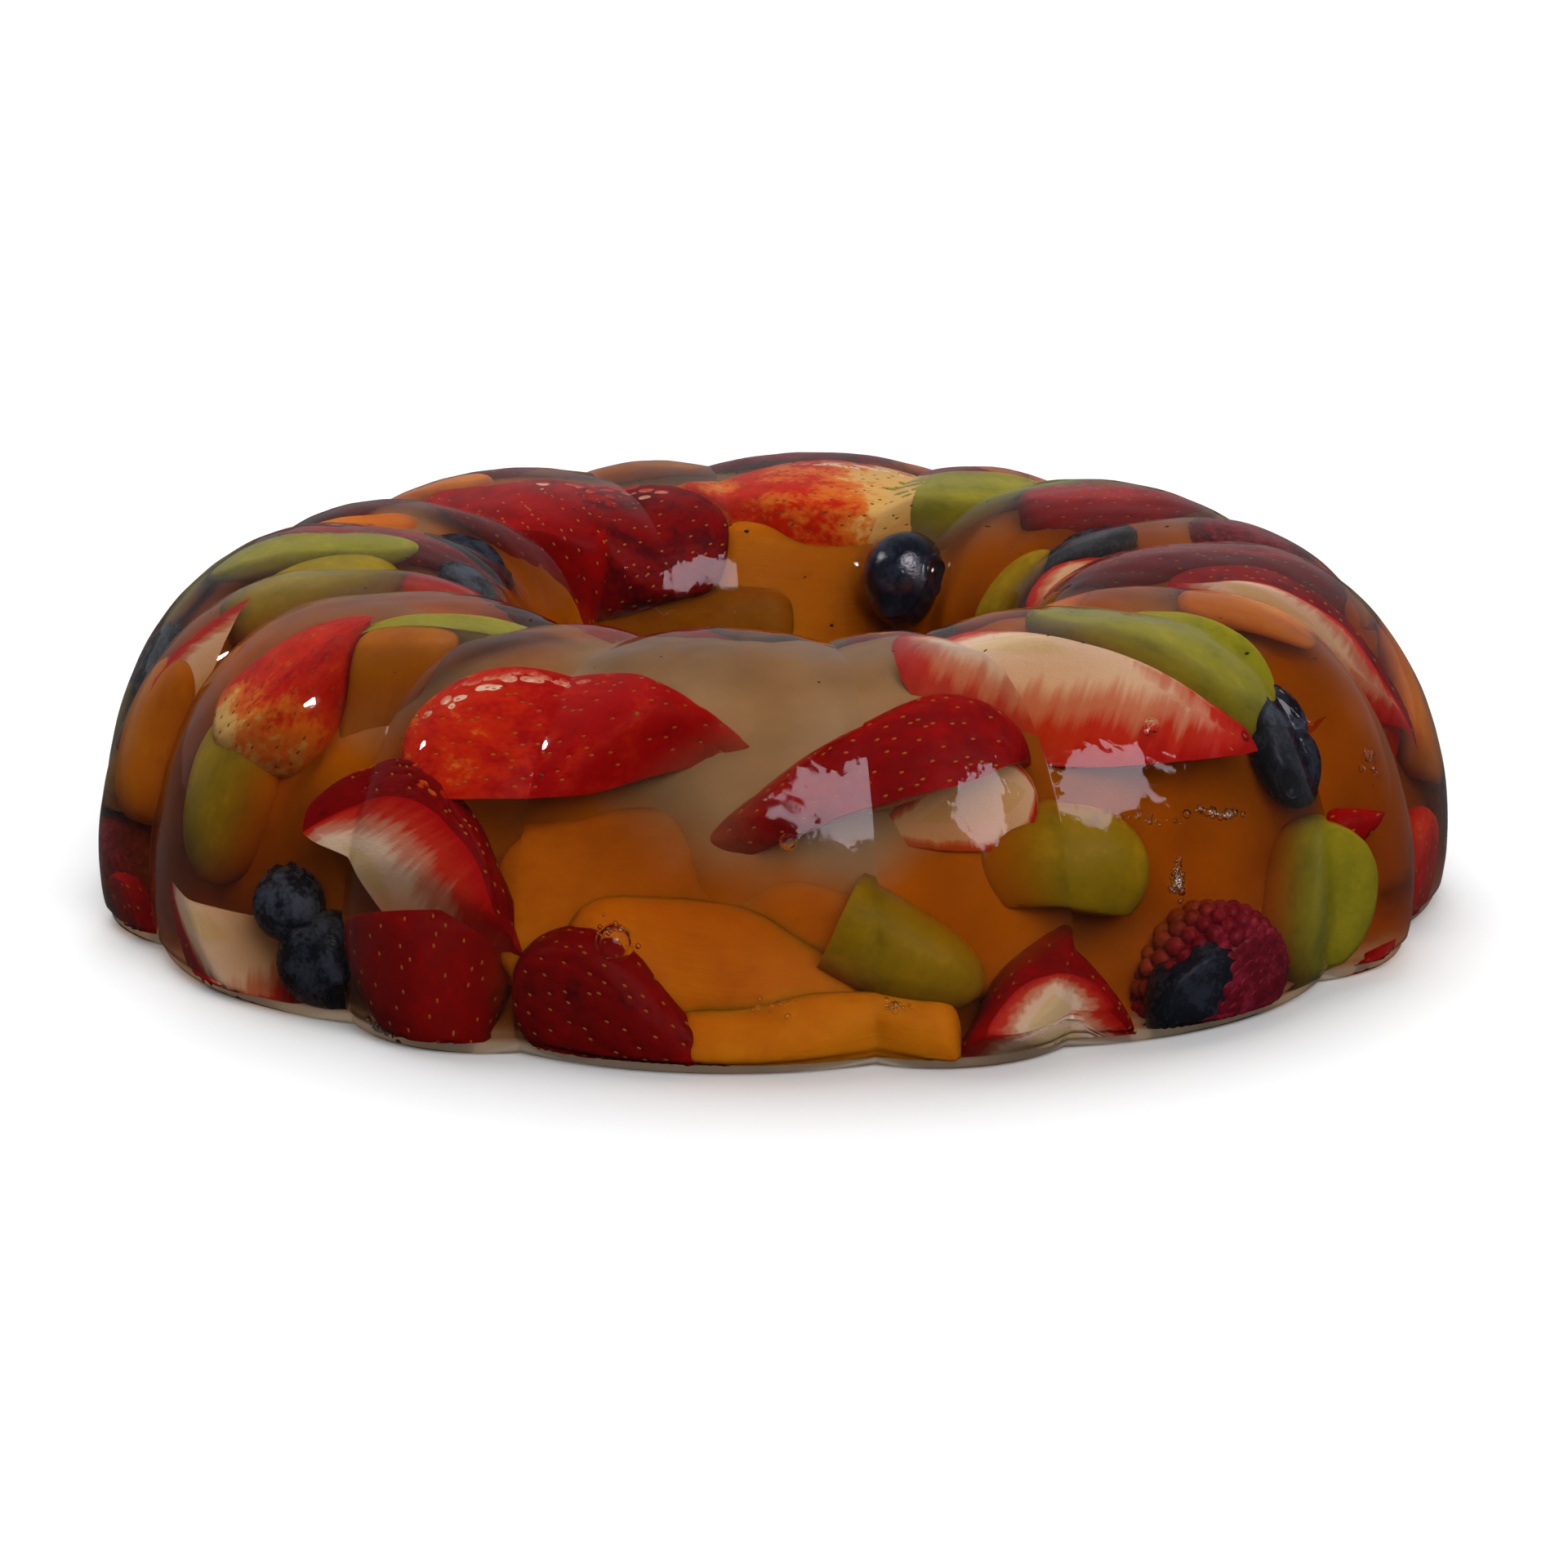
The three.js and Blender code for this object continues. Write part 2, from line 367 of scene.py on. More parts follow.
def make_piece(name, surface, material, sharp=None):
    """Lays a surface down as an object of its own, shaded smooth, riding on the ring's body."""
    mesh = bpy.data.meshes.new(name)
    mesh.vertices.add(len(surface.points))
    mesh.vertices.foreach_set("co", surface.points.astype(np.float32).ravel())
    mesh.loops.add(surface.faces.size)
    mesh.loops.foreach_set("vertex_index", surface.faces.astype(np.int32).ravel())
    mesh.polygons.add(len(surface.faces))
    mesh.polygons.foreach_set("loop_start", np.arange(0, surface.faces.size, 3, dtype=np.int32))
    mesh.polygons.foreach_set("use_smooth", np.ones(len(surface.faces), bool))
    mesh.update(calc_edges=True)
    for key, value in surface.values.items():
        kind, field_name = ("FLOAT_VECTOR", "vector") if value.ndim == 2 else ("FLOAT", "value")
        layer = mesh.attributes.new(key, kind, "POINT")
        layer.data.foreach_set(field_name, value.astype(np.float32).ravel())
    for key, value in surface.marks.items():
        layer = mesh.attributes.new(key, "FLOAT", "FACE")
        layer.data.foreach_set("value", value.astype(np.float32))
    if mesh.validate():
        raise RuntimeError(f"{name} has broken faces")
    if sharp is not None:
        mesh.set_sharp_from_angle(angle=sharp)
    mesh.materials.append(material)
    piece = bpy.data.objects.new(name, mesh)
    bpy.context.scene.collection.objects.link(piece)
    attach(piece, BODY)
    return piece


# ---------------------------------------------------------------- the ring

# How many steps each stretch of the section and each lobe takes
OUTLINE_STEPS = {"base": 16, "base_edge": 10, "wall": 10, "outer": 52, "inner": 46, "throat": 14,
                 "hole_edge": 7}
LOBE_STEPS = {"wide": 30, "narrow": 18}
ELLIPSE = 2.0

# The ripple's waves: share of its depth, waves round the ring, waves round the section, phase
RIPPLES = [(0.3, 5, 2, 0.0), (0.25, 23, -5, 1.0), (0.25, 41, 9, 2.0), (0.2, 67, -14, 4.0)]
RIPPLE_FADES = (0.002, 0.006)  # heights over which it dies out towards the base

WETTED_RADIUS = 0.0078  # how far from the hole berry's middle the jelly starts to climb it
WETTING_CLIMB = 0.0011
WETTING_REACH = 0.0013

# The cloudy depth: its shares of the section's sides, top and base, and its slow waves (waves
# round the ring, waves round the section, phase)
DEPTH_SIDES, DEPTH_TOP, DEPTH_BASE = 0.70, 0.71, 0.97
DEPTH_WAVES = [(7, 2, 0), (16, -3, 2), (29, 1, 4)]
DEPTH_WAVE_SHARE = 0.03
CALM_BELOW = -0.015  # from the section's middle: no waves lower than this
FOOT_UNDER_SKIN = 0.0005
FOOT_HEIGHTS = (0.0036, 0.0011)  # the foot starts to reach out at the first, and is out at the second


def quarter(turn, roundness):
    """Side and top shares (a, b) of a quarter superellipse, a^n + b^n = 1, at a turn from 0, its
    side, to 1, its top."""
    c, s = np.cos(turn * math.pi / 2), np.sin(turn * math.pi / 2)
    reach = (np.maximum(c, 0) ** roundness + s ** roundness) ** (-1 / roundness)
    return reach * np.maximum(c, 0), reach * s


def ring_outline(ring, fine=1.0):
    """The closed outline of the section in a valley, from the foot of the hole outwards: rows of
    radius, height and the shares of a lobe's outward and upward swell that each point takes.

    The outer side is a quarter ellipse from the crest to the widest height, then a parabola in
    to the base. The inner side is a quarter superellipse from the crest to the throat, then a
    straight taper. Both edges of the base are quarter circles."""

    def steps(stretch):
        count = round(OUTLINE_STEPS[stretch] * fine)
        return (np.arange(count) + 1) / count

    def rows(r, z, outward, upward):
        return np.stack(np.broadcast_arrays(r, z, outward, upward), -1)

    base, edge = ring.base_radius - ring.base_rounding, ring.base_rounding
    hole, foot = ring.hole_base_radius + ring.hole_rounding, ring.hole_rounding
    out = steps("base")
    bend = steps("base_edge") * math.pi / 2
    wall = edge + (ring.widest_height - edge) * steps("wall")
    drop = (1 - wall / ring.widest_height) ** 2
    side, top = quarter(steps("outer"), ELLIPSE)
    inner_side, inner_top = quarter(1 - steps("inner"), ring.inner_roundness)
    throat = steps("throat")
    turn = steps("hole_edge") * math.pi / 2
    return np.concatenate([
        rows(hole + (base - hole) * out, 0.0, out, 0.0),
        rows(base + edge * np.sin(bend), edge - edge * np.cos(bend), 1.0, 0.0),
        rows(ring.widest_radius + (ring.base_radius - ring.widest_radius) * drop, wall, 1.0, 0.0),
        rows(ring.crest_radius + (ring.widest_radius - ring.crest_radius) * side,
             ring.widest_height + (ring.crest_height - ring.widest_height) * top, side, top),
        rows(ring.crest_radius - (ring.crest_radius - ring.hole_radius) * inner_side,
             ring.throat_height + (ring.crest_height - ring.throat_height) * inner_top, 0.0, inner_top),
        rows(ring.hole_radius + (ring.hole_base_radius - ring.hole_radius) * throat,
             ring.throat_height + (foot - ring.throat_height) * throat, 0.0, 0.0),
        rows(hole - foot * np.cos(turn), foot - foot * np.sin(turn), 0.0, 0.0),
    ])


class Mould:
    """The space that the jelly fills. Azimuth is the angle from the front (-Y) towards +X, and
    angle is the direction from SECTION_MIDDLE within the section there."""

    def __init__(self, ring):
        self.ring = ring
        outline = ring_outline(ring, fine=2.0)
        r, z = (outline[:, :2] - SECTION_MIDDLE).T
        order = np.argsort(np.arctan2(z, r))
        along = np.roll(outline[:, :2], -1, axis=0) - np.roll(outline[:, :2], 1, axis=0)
        facing = (r * along[:, 1] - z * along[:, 0]) / np.hypot(r, z)
        self.angle = np.arctan2(z, r)[order]
        self.far = np.hypot(r, z)[order]
        self.out_gain = (outline[:, 2] * along[:, 1] / facing)[order]
        self.up_gain = (outline[:, 3] * -along[:, 0] / facing)[order]

    def swell(self, azimuth):
        """How far the lobe there stands outward and upward: a parabola across each lobe."""
        ring = self.ring
        pair = math.tau / ring.lobe_pairs
        place = np.mod(azimuth - ring.first_angle + ring.wide_angle / 2, pair)
        wide = place < ring.wide_angle
        across = np.where(wide, place / ring.wide_angle,
                          (place - ring.wide_angle) / (pair - ring.wide_angle)) * 2 - 1
        full = 1 - across ** 2
        return (full * np.where(wide, ring.wide_out, ring.narrow_out),
                full * np.where(wide, LOBE_RISE, ring.narrow_rise))

    def reach(self, azimuth, angle):
        """From the section's middle to the skin: the valley's reach, and what the lobe's swell adds
        to it, which is the swell along the skin's normal over the cosine between normal and way.
        It ends at the flat base, z = 0."""
        outward, upward = self.swell(azimuth)
        far, out_gain, up_gain = (np.interp(angle, self.angle, table, period=math.tau)
                                  for table in (self.far, self.out_gain, self.up_gain))
        total = far + outward * out_gain + upward * up_gain
        return np.minimum(total, SECTION_MIDDLE[1] / np.maximum(-np.sin(angle), NEARLY_NOTHING))

    def split(self, points):
        """Azimuth, angle and distance from the section's middle of each point."""
        azimuth = np.arctan2(points[..., 0], -points[..., 1])
        r = np.hypot(points[..., 0], points[..., 1]) - SECTION_MIDDLE[0]
        z = points[..., 2] - SECTION_MIDDLE[1]
        return azimuth, np.arctan2(z, r), np.hypot(r, z)

    def place(self, azimuth, angle, distance):
        """The point at that azimuth, angle and distance from the section's middle."""
        r = SECTION_MIDDLE[0] + distance * np.cos(angle)
        return np.stack([r * np.sin(azimuth), -r * np.cos(azimuth),
                         SECTION_MIDDLE[1] + distance * np.sin(angle)], -1)

    def under_skin(self, points):
        """How deep points lie under the skin, measured towards the section's middle."""
        azimuth, angle, distance = self.split(points)
        return self.reach(azimuth, angle) - distance

    def kept_in(self, points, inset, give=0.0):
        """Points moved towards the section's middle until they lie at least inset deep: their depth
        d past the inset becomes (d + sqrt(d^2 + give^2)) / 2."""
        azimuth, angle, distance = self.split(points)
        reach = self.reach(azimuth, angle)
        past = reach - inset - distance
        return self.place(azimuth, angle, reach - inset - (past + np.hypot(past, give)) / 2)

    def skin_normal(self, point):
        """The outward direction of the skin next to a point: the slope of the depth there."""
        step = 0.02 * MM * np.eye(3)
        slope = self.under_skin(point - step) - self.under_skin(point + step)
        return slope / np.linalg.norm(slope)


def ring_azimuths(ring):
    """Azimuths round the ring as a column, closer together at the valleys and one in each valley."""
    pair = math.tau / ring.lobe_pairs
    lobes = [(0, ring.wide_angle, LOBE_STEPS["wide"]),
             (pair / 2, pair - ring.wide_angle, LOBE_STEPS["narrow"])]
    azimuth = []
    for middle, width, steps in lobes:
        across = -np.cos(np.arange(steps) * math.pi / steps)
        azimuth.append(ring.first_angle + middle + across * width / 2)
    azimuth = np.concatenate(azimuth)
    return np.concatenate([azimuth + k * pair for k in range(ring.lobe_pairs)])[:, None]


def round_the_axis(grid):
    """A closed ring from sections: grid[i, j] is point j of the section at azimuth i."""
    rows, columns = grid.shape[:2]
    at = np.arange(rows * columns).reshape(rows, columns)
    a, b = at, np.roll(at, -1, axis=0)
    c, d = np.roll(b, -1, axis=1), np.roll(at, -1, axis=1)
    faces = np.stack([np.stack([a, b, c], -1), np.stack([a, c, d], -1)], -2).reshape(-1, 3)
    return Surface(grid.reshape(-1, 3), faces)


def ring_surface(ring, mould, bubbles):
    """The skin of the jelly: its outline carried round the axis. At each azimuth a lobe swells it
    by its parabola, a slow ripple draws it in, and it climbs a little where it wets the berry.
    Bubbles are spheres turned inside out within it."""
    azimuth = ring_azimuths(ring)
    outline = ring_outline(ring)
    outward, upward = mould.swell(azimuth + TINY)
    r = outline[:, 0] + outline[:, 2] * outward
    z = outline[:, 1] + outline[:, 3] * upward
    way = np.linspace(0, math.tau, len(outline), endpoint=False)
    ripple = sum(share * np.sin(round_ring * azimuth + round_section * way + phase)
                 for share, round_ring, round_section, phase in RIPPLES)
    low, high = RIPPLE_FADES
    depth = ring.ripple * (ripple - 1) * np.clip((z - low) / (high - low), 0, 1)
    towards = np.stack([r - SECTION_MIDDLE[0], z - SECTION_MIDDLE[1]], -1)
    towards /= np.linalg.norm(towards, axis=-1, keepdims=True)
    r, z = r + depth * towards[..., 0], z + depth * towards[..., 1]
    grid = np.stack([r * np.sin(azimuth), -r * np.cos(azimuth), z], -1)
    inwards = np.stack([-np.sin(azimuth), np.cos(azimuth), 0 * azimuth], -1)
    gap = np.maximum(np.linalg.norm(grid - BERRY_PLACE, axis=-1) - WETTED_RADIUS, 0)
    climb = WETTING_CLIMB * np.exp(-(gap / WETTING_REACH) ** 2) * (outline[:, 2] == 0)
    skin = round_the_axis(grid + climb[..., None] * inwards)
    return joined([skin] + [Surface(s.points, s.faces[:, ::-1]) for s in bubbles])


def depth_surface(ring, mould):
    """The cloudy depth: the section of the valleys drawn in towards its middle by a share that
    differs for sides, top and base, and carried round the axis with slow waves in and out. Its
    foot reaches out to just under the skin of every lobe."""
    outline = ring_outline(ring, fine=0.5)[:, :2] - SECTION_MIDDLE
    height = outline[:, 1] + SECTION_MIDDLE[1]
    azimuth = ring_azimuths(ring)
    way = np.arctan2(outline[:, 1], outline[:, 0])
    wave = sum(np.sin(round_ring * azimuth + round_section * way + phase)
               for round_ring, round_section, phase in DEPTH_WAVES)
    aside = outline[:, 0] * DEPTH_SIDES
    above = outline[:, 1] * np.where(outline[:, 1] > 0, DEPTH_TOP, DEPTH_BASE)
    swell = 1 + DEPTH_WAVE_SHARE * wave * (above > CALM_BELOW)
    depth = mould.place(azimuth, np.arctan2(above, aside), swell * np.hypot(aside, above))
    under_skin = mould.place(azimuth, way, mould.reach(azimuth, way) - FOOT_UNDER_SKIN)
    start, end = FOOT_HEIGHTS
    foot = (np.clip((start - height) / (start - end), 0, 1) * (outline[:, 0] > 0))[:, None]
    return round_the_axis(depth + (under_skin - depth) * foot)


# ---------------------------------------------------------------- where things are seen


class View:
    """The camera's place and axes, and the sight line through a column and row of its frame. scale
    is how wide a column is at the front of the ring."""

    FRAME = 1920  # columns and rows
    SENSOR = 36.0
    NEAR, FAR, STEP = 0.60, 0.98, 0.0002  # where along a sight line the skin is looked for

    def __init__(self, studio, mould, index):
        e = studio.elevation
        self.right = np.array((1.0, 0.0, 0.0))
        self.up = np.array((0.0, math.sin(e), math.cos(e)))
        self.towards = np.array((0.0, -math.cos(e), math.sin(e)))
        self.place = np.array((studio.aim_side, 0, studio.aim_height)) + studio.distance * self.towards
        self.focal = studio.lens / self.SENSOR * self.FRAME
        self.scale = (studio.distance - mould.ring.widest_radius) / self.focal
        self.mould, self.index = mould, index

    def line(self, column, row):
        """The direction of the sight line through that column and row."""
        half = self.FRAME / 2
        way = (column - half) * self.right + (half - row) * self.up - self.focal * self.towards
        return way / np.linalg.norm(way)

    def skin(self, column, row):
        """Where that sight line first meets the skin, and the skin's normal there."""
        way = self.line(column, row)
        reach = np.arange(self.NEAR, self.FAR, self.STEP)
        deep = self.mould.under_skin(self.place + reach[:, None] * way)
        if not (deep > 0).any():
            raise RuntimeError(f"nothing is seen at {column}, {row}")
        k = int(np.argmax(deep > 0))
        share = deep[k] / (deep[k] - deep[k - 1])
        point = self.place + (reach[k] - share * self.STEP) * way
        return point, self.mould.skin_normal(point)

    def inside(self, column, row, depth):
        """The point at that depth along the sight line, bent at the skin by Snell's law."""
        point, normal = self.skin(column, row)
        way = self.line(column, row)
        ratio = 1 / self.index
        cosine = -way @ normal
        bent = ratio * way + (ratio * cosine - math.sqrt(1 - ratio ** 2 * (1 - cosine ** 2))) * normal
        return point + depth * bent

    def mirrored(self, column, row, distance):
        """The place, that far off, from which a lamp glints at that column and row, and the point
        of the skin there."""
        point, normal = self.skin(column, row)
        way = self.line(column, row)
        return point + distance * (way - 2 * (way @ normal) * normal), point

    def axes(self, heading, lean, roll):
        """A piece's own axes, as columns, from three angles in degrees: where its X points in the
        view, anticlockwise from the right, how far X leans towards the viewer, and the roll
        about X. Without roll its Z faces the viewer."""
        h, n, w = np.radians((heading, lean, roll))
        x = math.cos(n) * (math.cos(h) * self.right + math.sin(h) * self.up) + math.sin(n) * self.towards
        z = self.towards - (self.towards @ x) * x
        z /= np.linalg.norm(z)
        y = np.cross(z, x)
        return np.stack([x, math.cos(w) * y + math.sin(w) * z, math.cos(w) * z - math.sin(w) * y], 1)


SPHERES = 5  # how many stand for a piece of fruit


@dataclass
class Fruit:
    """A piece of fruit: its size along its own axes, its place, and how it is cut. low and high
    are flat cuts across its Z and under and over across its Y, as shares of its half size there;
    start is a flat cut across its length. bend is the angle that a slice is bent through, and
    blunt how square its ends are. tone runs from pale and unripe to dark and ripe, and pale says
    how far the pale flesh of a cut reaches out. fine is how close its points lie, and number
    starts its draws."""

    kind: str
    size: tuple
    place: np.ndarray
    axes: np.ndarray
    tone: float = 0.5
    low: float = -1.0
    high: float = 1.0
    under: float = -1.0
    over: float = 1.0
    start: float = 0.0
    bend: float = 0.0
    blunt: float = 4.0
    pale: float = 1.0
    fine: float = 1.0
    number: int = 0

    def spheres(self):
        """Spheres along the piece, a little thinner than it, that stand for it when another looks
        for room: their middles and their radius."""
        half = np.array(self.size) / 2
        flat = half[2] * (self.high - self.low) / 2
        radius = (half[1] + flat) / 2 * 0.9
        steps = np.linspace(-1, 1, SPHERES) * max(half[0] - radius, 0)
        offset = half[2] * (self.high + self.low) / 2 * self.axes[:, 2]
        offset = offset + half[1] * (self.over + self.under) / 2 * self.axes[:, 1]
        return self.place + steps[:, None] * self.axes[:, 0] + offset, radius


# The pieces that show from the front: kind, middle (column, row), depth along the sight line in mm,
# size in mm, (heading, lean, roll) in degrees, and the rest: tone, cuts and bend
SEEN = [
    ("strawberry", (694, 920), 8, (52, 49, 24), (2, 0, 10), {"tone": 0.50, "low": -0.15, "under": -0.15}),
    ("strawberry", (1052, 974), 10, (52, 30, 21), (199, 0, 278), {"tone": 0.72, "high": 0.3}),
    ("strawberry", (1164, 992), 12, (24, 13, 10), (194, 0, 0), {"tone": 0.3, "high": 0.0, "pale": 1.5}),
    ("strawberry", (1345, 814), 5, (60, 42, 18), (-19, 8, -24), {"tone": 0.72, "high": 0.0, "over": 0.15}),
    ("grape", (1425, 786), 12, (40, 30, 22), (-30, 10, 0), {"tone": 0.25}),
    ("blueberry", (1562, 876), 6, (12, 14, 14), (60, 20, 0), {"tone": 0.7}),
    ("blueberry", (1580, 930), 6, (14, 15, 15), (-60, 62, 0), {"tone": 0.3}),
    ("strawberry", (371, 818), 8, (34, 25, 18), (60, 6, 180), {"tone": 0.36, "high": 0.3}),
    ("mango", (470, 880), 15, (33, 14, 9), (80, 0, 0), {"blunt": 8, "tone": 0.8}),
    ("grape", (566, 776), 8, (32, 18, 12), (8, 0, 40), {"tone": 0.2, "high": 0.0}),
    ("strawberry", (502, 1122), 8, (50, 44, 36), (-34, 0, 54), {"tone": 0.78, "high": 0.0, "under": -0.1}),
    ("blueberry", (352, 1108), 7, (11, 12, 12), (100, 10, 0), {"tone": 0.8}),
    ("blueberry", (398, 1174), 8, (14, 16, 15), (-70, 30, 0), {"tone": 0.6}),
    ("strawberry", (296, 1150), 8, (38, 34, 14), (-8, 10, -14), {"tone": 0.60, "high": 0.0, "over": 0.2}),
    ("strawberry", (528, 1212), 10, (33, 27, 20), (-90, 10, 180),
     {"tone": 0.76, "high": 0.2, "start": 0.22}),
    ("strawberry", (768, 1252), 7, (36, 21, 20), (-27, 10, 190), {"tone": 0.78, "high": 0.2}),
    ("mango", (832, 1120), 18, (58, 28, 12), (-4, 4, 0), {"bend": 0.5}),
    ("mango", (878, 1182), 14, (44, 16, 12), (-9, 0, 0), {"bend": 0.3}),
    ("mango", (1000, 1276), 7, (42, 13, 12), (-3, 0, 0), {"blunt": 14}),
    ("grape", (1074, 1150), 8, (34, 15.5, 15), (-26, 0, 200), {"tone": 0.85, "start": 0.33}),
    ("grape", (1306, 1062), 10, (29, 19, 15), (-3, 0, 0), {"tone": 0.75, "under": -0.6}),
    ("grape", (1620, 1102), 8, (25, 26, 17), (82, 0, 0), {"tone": 0.45}),
    ("strawberry", (1290, 1242), 8, (27, 29, 25), (93, -16, 18),
     {"tone": 0.7, "high": 0.66, "start": 0.25, "pale": 1.9}),
    ("raspberry", (1500, 1216), 7, (30, 25, 17), (-20, 10, 0), {"tone": 0.6}),
    ("blueberry", (1468, 1216), 6, (14, 17.5, 17), (120, 25, 0), {"tone": 0.35}),
    ("strawberry", (1665, 1006), 5, (11, 7, 6), (20, 0, 0), {"tone": 0.6}),
    ("strawberry", (1690, 1178), 4, (8, 6, 5), (40, 0, 0), {"tone": 0.6}),
    ("grape", (284, 964), 15, (27, 19, 16), (75, 0, 30), {"tone": 0.7}),
    ("blueberry", (184, 808), 5, (13, 15, 15), (60, 0, 0), {"tone": 0.8}),
    ("mango", (184, 905), 9, (26, 14, 10), (85, 0, 0), {"tone": 0.72}),
    ("strawberry", (262, 808), 9, (24, 24, 13), (70, 0, 10), {"tone": 0.5, "high": 0.0, "under": 0.0}),
    ("grape", (385, 668), 6, (34, 15, 13), (8, 0, 0), {"tone": 0.2}),
    ("strawberry", (470, 655), 9, (36, 20, 16), (-25, 0, 180), {"tone": 0.75, "high": 0.2}),
    ("blueberry", (575, 712), 7, (9, 10, 10), (20, 20, 0), {"tone": 0.8}),
    ("mango", (532, 598), 7, (20, 14, 8), (10, 0, 0), {}),
    ("strawberry", (662, 642), 8, (38, 36, 24), (-70, 10, 180), {"tone": 0.66, "high": 0.2}),
    ("strawberry", (754, 662), 8, (42, 32, 22), (215, 10, 190), {"tone": 0.88, "high": 0.2}),
    ("strawberry", (978, 606), 8, (50, 44, 22), (184, 0, 185), {"tone": 0.27, "high": 0.3}),
    ("grape", (1202, 608), 8, (36, 34, 16), (-22, 0, 0), {"tone": 0.25}),
    ("mango", (830, 768), 9, (44, 14, 12), (-2, 0, 0), {"bend": -0.5, "tone": 0.9}),
    ("mango", (980, 738), 10, (36, 24, 12), (-4, 0, 0), {"bend": -0.4, "tone": 0.72}),
    ("strawberry", (1412, 674), 7, (58, 34, 20), (172, 0, 180), {"tone": 0.8, "high": 0.2}),
    ("strawberry", (1382, 608), 8, (36, 24, 16), (10, 0, 180), {"tone": 0.6, "high": 0.2}),
    ("strawberry", (1622, 778), 6, (54, 26, 16), (-36, 0, 12), {"tone": 0.85, "high": 0.0}),
    ("mango", (1535, 744), 9, (20, 9, 8), (-14, 0, 0), {"blunt": 8}),
    ("grape", (1232, 728), 7, (18, 11, 10), (50, 0, 0), {"tone": 0.8}),
    ("strawberry", (1738, 1090), 6, (24, 16, 12), (-80, 0, 180), {"tone": 0.5, "high": 0.2}),
    ("strawberry", (166, 1122), 5, (16, 10, 8), (-30, 0, 180), {"tone": 0.66, "high": 0.2}),
]

# The large air bubbles: middle (column, row), depth in mm and radius in mm
BUBBLES = [
    ((752, 1155), 3.3, 2.9), ((1411, 888), 2.2, 1.25), ((965, 1030), 5.0, 1.3), ((1085, 1226), 3.0, 0.6),
    ((1404, 897), 2.2, 0.5), ((1675, 925), 4.0, 1.0), ((1668, 941), 4.0, 0.6),
]

# Swarms of tiny ones: middle (column, row), spread in columns and rows, depth in mm, largest radius
# in mm, and how many
SWARMS = [
    ((1490, 994), (42, 8), 2.4, 0.75, 34), ((1415, 1002), (50, 7), 2.4, 0.55, 14),
    ((1441, 1076), (11, 22), 2.4, 0.80, 44), ((1350, 1000), (40, 14), 2.4, 0.45, 10),
    ((952, 1235), (36, 12), 2.2, 0.55, 12), ((1678, 932), (16, 22), 3.0, 0.70, 16),
    ((462, 1264), (22, 10), 1.2, 0.60, 50), ((1095, 1232), (20, 6), 1.6, 0.60, 18),
    ((748, 1140), (28, 20), 1.4, 0.45, 20), ((512, 890), (22, 46), 0.9, 0.34, 34),
]
SWARM_THICKNESS = 8  # their spread along the sight line, in columns

# The two lamps that show only as glints: the column and row at which the skin mirrors each, how
# far off it is, its width and height, and its power in watts where the studio doesn't give it
WINDOW_AT, WINDOW_AWAY, WINDOW_SIZE = (1200, 985), 1.15, (1.25, 0.85)
SPOT_AT, SPOT_AWAY, SPOT_SIZE, SPOT_POWER = (376, 862), 1.6, (0.09, 0.09), 5.0


def seen_fruit(view):
    """The pieces that show from the front, each put where its sight line runs in the jelly."""
    return [Fruit(kind, tuple(np.array(size) * MM), view.inside(*middle, depth * MM), view.axes(*turn),
                  number=number, **rest)
            for number, (kind, middle, depth, size, turn, rest) in enumerate(SEEN)]


# What fills the rest: kind, size in mm, how many at most, tone from and to, and how it may be cut
# or bent
FILLERS = [
    ("strawberry", (40, 28, 23), 13, (0.5, 0.9), [{"high": 0.0}, {"high": 0.3}, {}]),
    ("mango", (40, 20, 13), 8, (0.3, 0.8), [{"bend": 0.6}, {"bend": 0.4, "blunt": 8}]),
    ("grape", (29, 19, 18), 9, (0.2, 0.9), [{}, {"high": 0.0}]),
    ("strawberry", (33, 25, 20), 12, (0.5, 0.9), [{"high": 0.0}, {"high": 0.0}, {"high": 0.3}]),
    ("raspberry", (21, 19, 18), 3, (0.5, 0.5), [{}]),
    ("mango", (30, 16, 12), 6, (0.3, 0.8), [{"bend": 0.4}, {"blunt": 8}]),
    ("blueberry", (12.5, 14, 14), 14, (0.2, 0.9), [{}]),
    ("strawberry", (22, 17, 15), 12, (0.5, 0.9), [{"high": 0.0}, {"high": 0.3}, {}]),
    ("grape", (20, 14, 13), 12, (0.2, 0.9), [{}, {"high": 0.0}]),
]
FILLING_SIZES = (0.85, 1.15)  # shares of the size above
FILLING_DEPTHS = (0.7, 1.3)  # shares of the half thickness
FILLING_FINE = 0.55
FILLING_NUMBERS = 1000  # the number of the first
FACES_VIEW = 0.10  # most that the skin over a piece may face the view
FACES_FLOOR = -0.8  # and the floor
FRONT_CREST = (math.radians(20), math.radians(150))
FRONT_OF = -0.02
ASTRAY = 0.55  # how far a piece strays from lying along the ring
NEAREST_SKIN = 0.45  # shares of a piece's radius
NEAREST_PIECE = 0.76


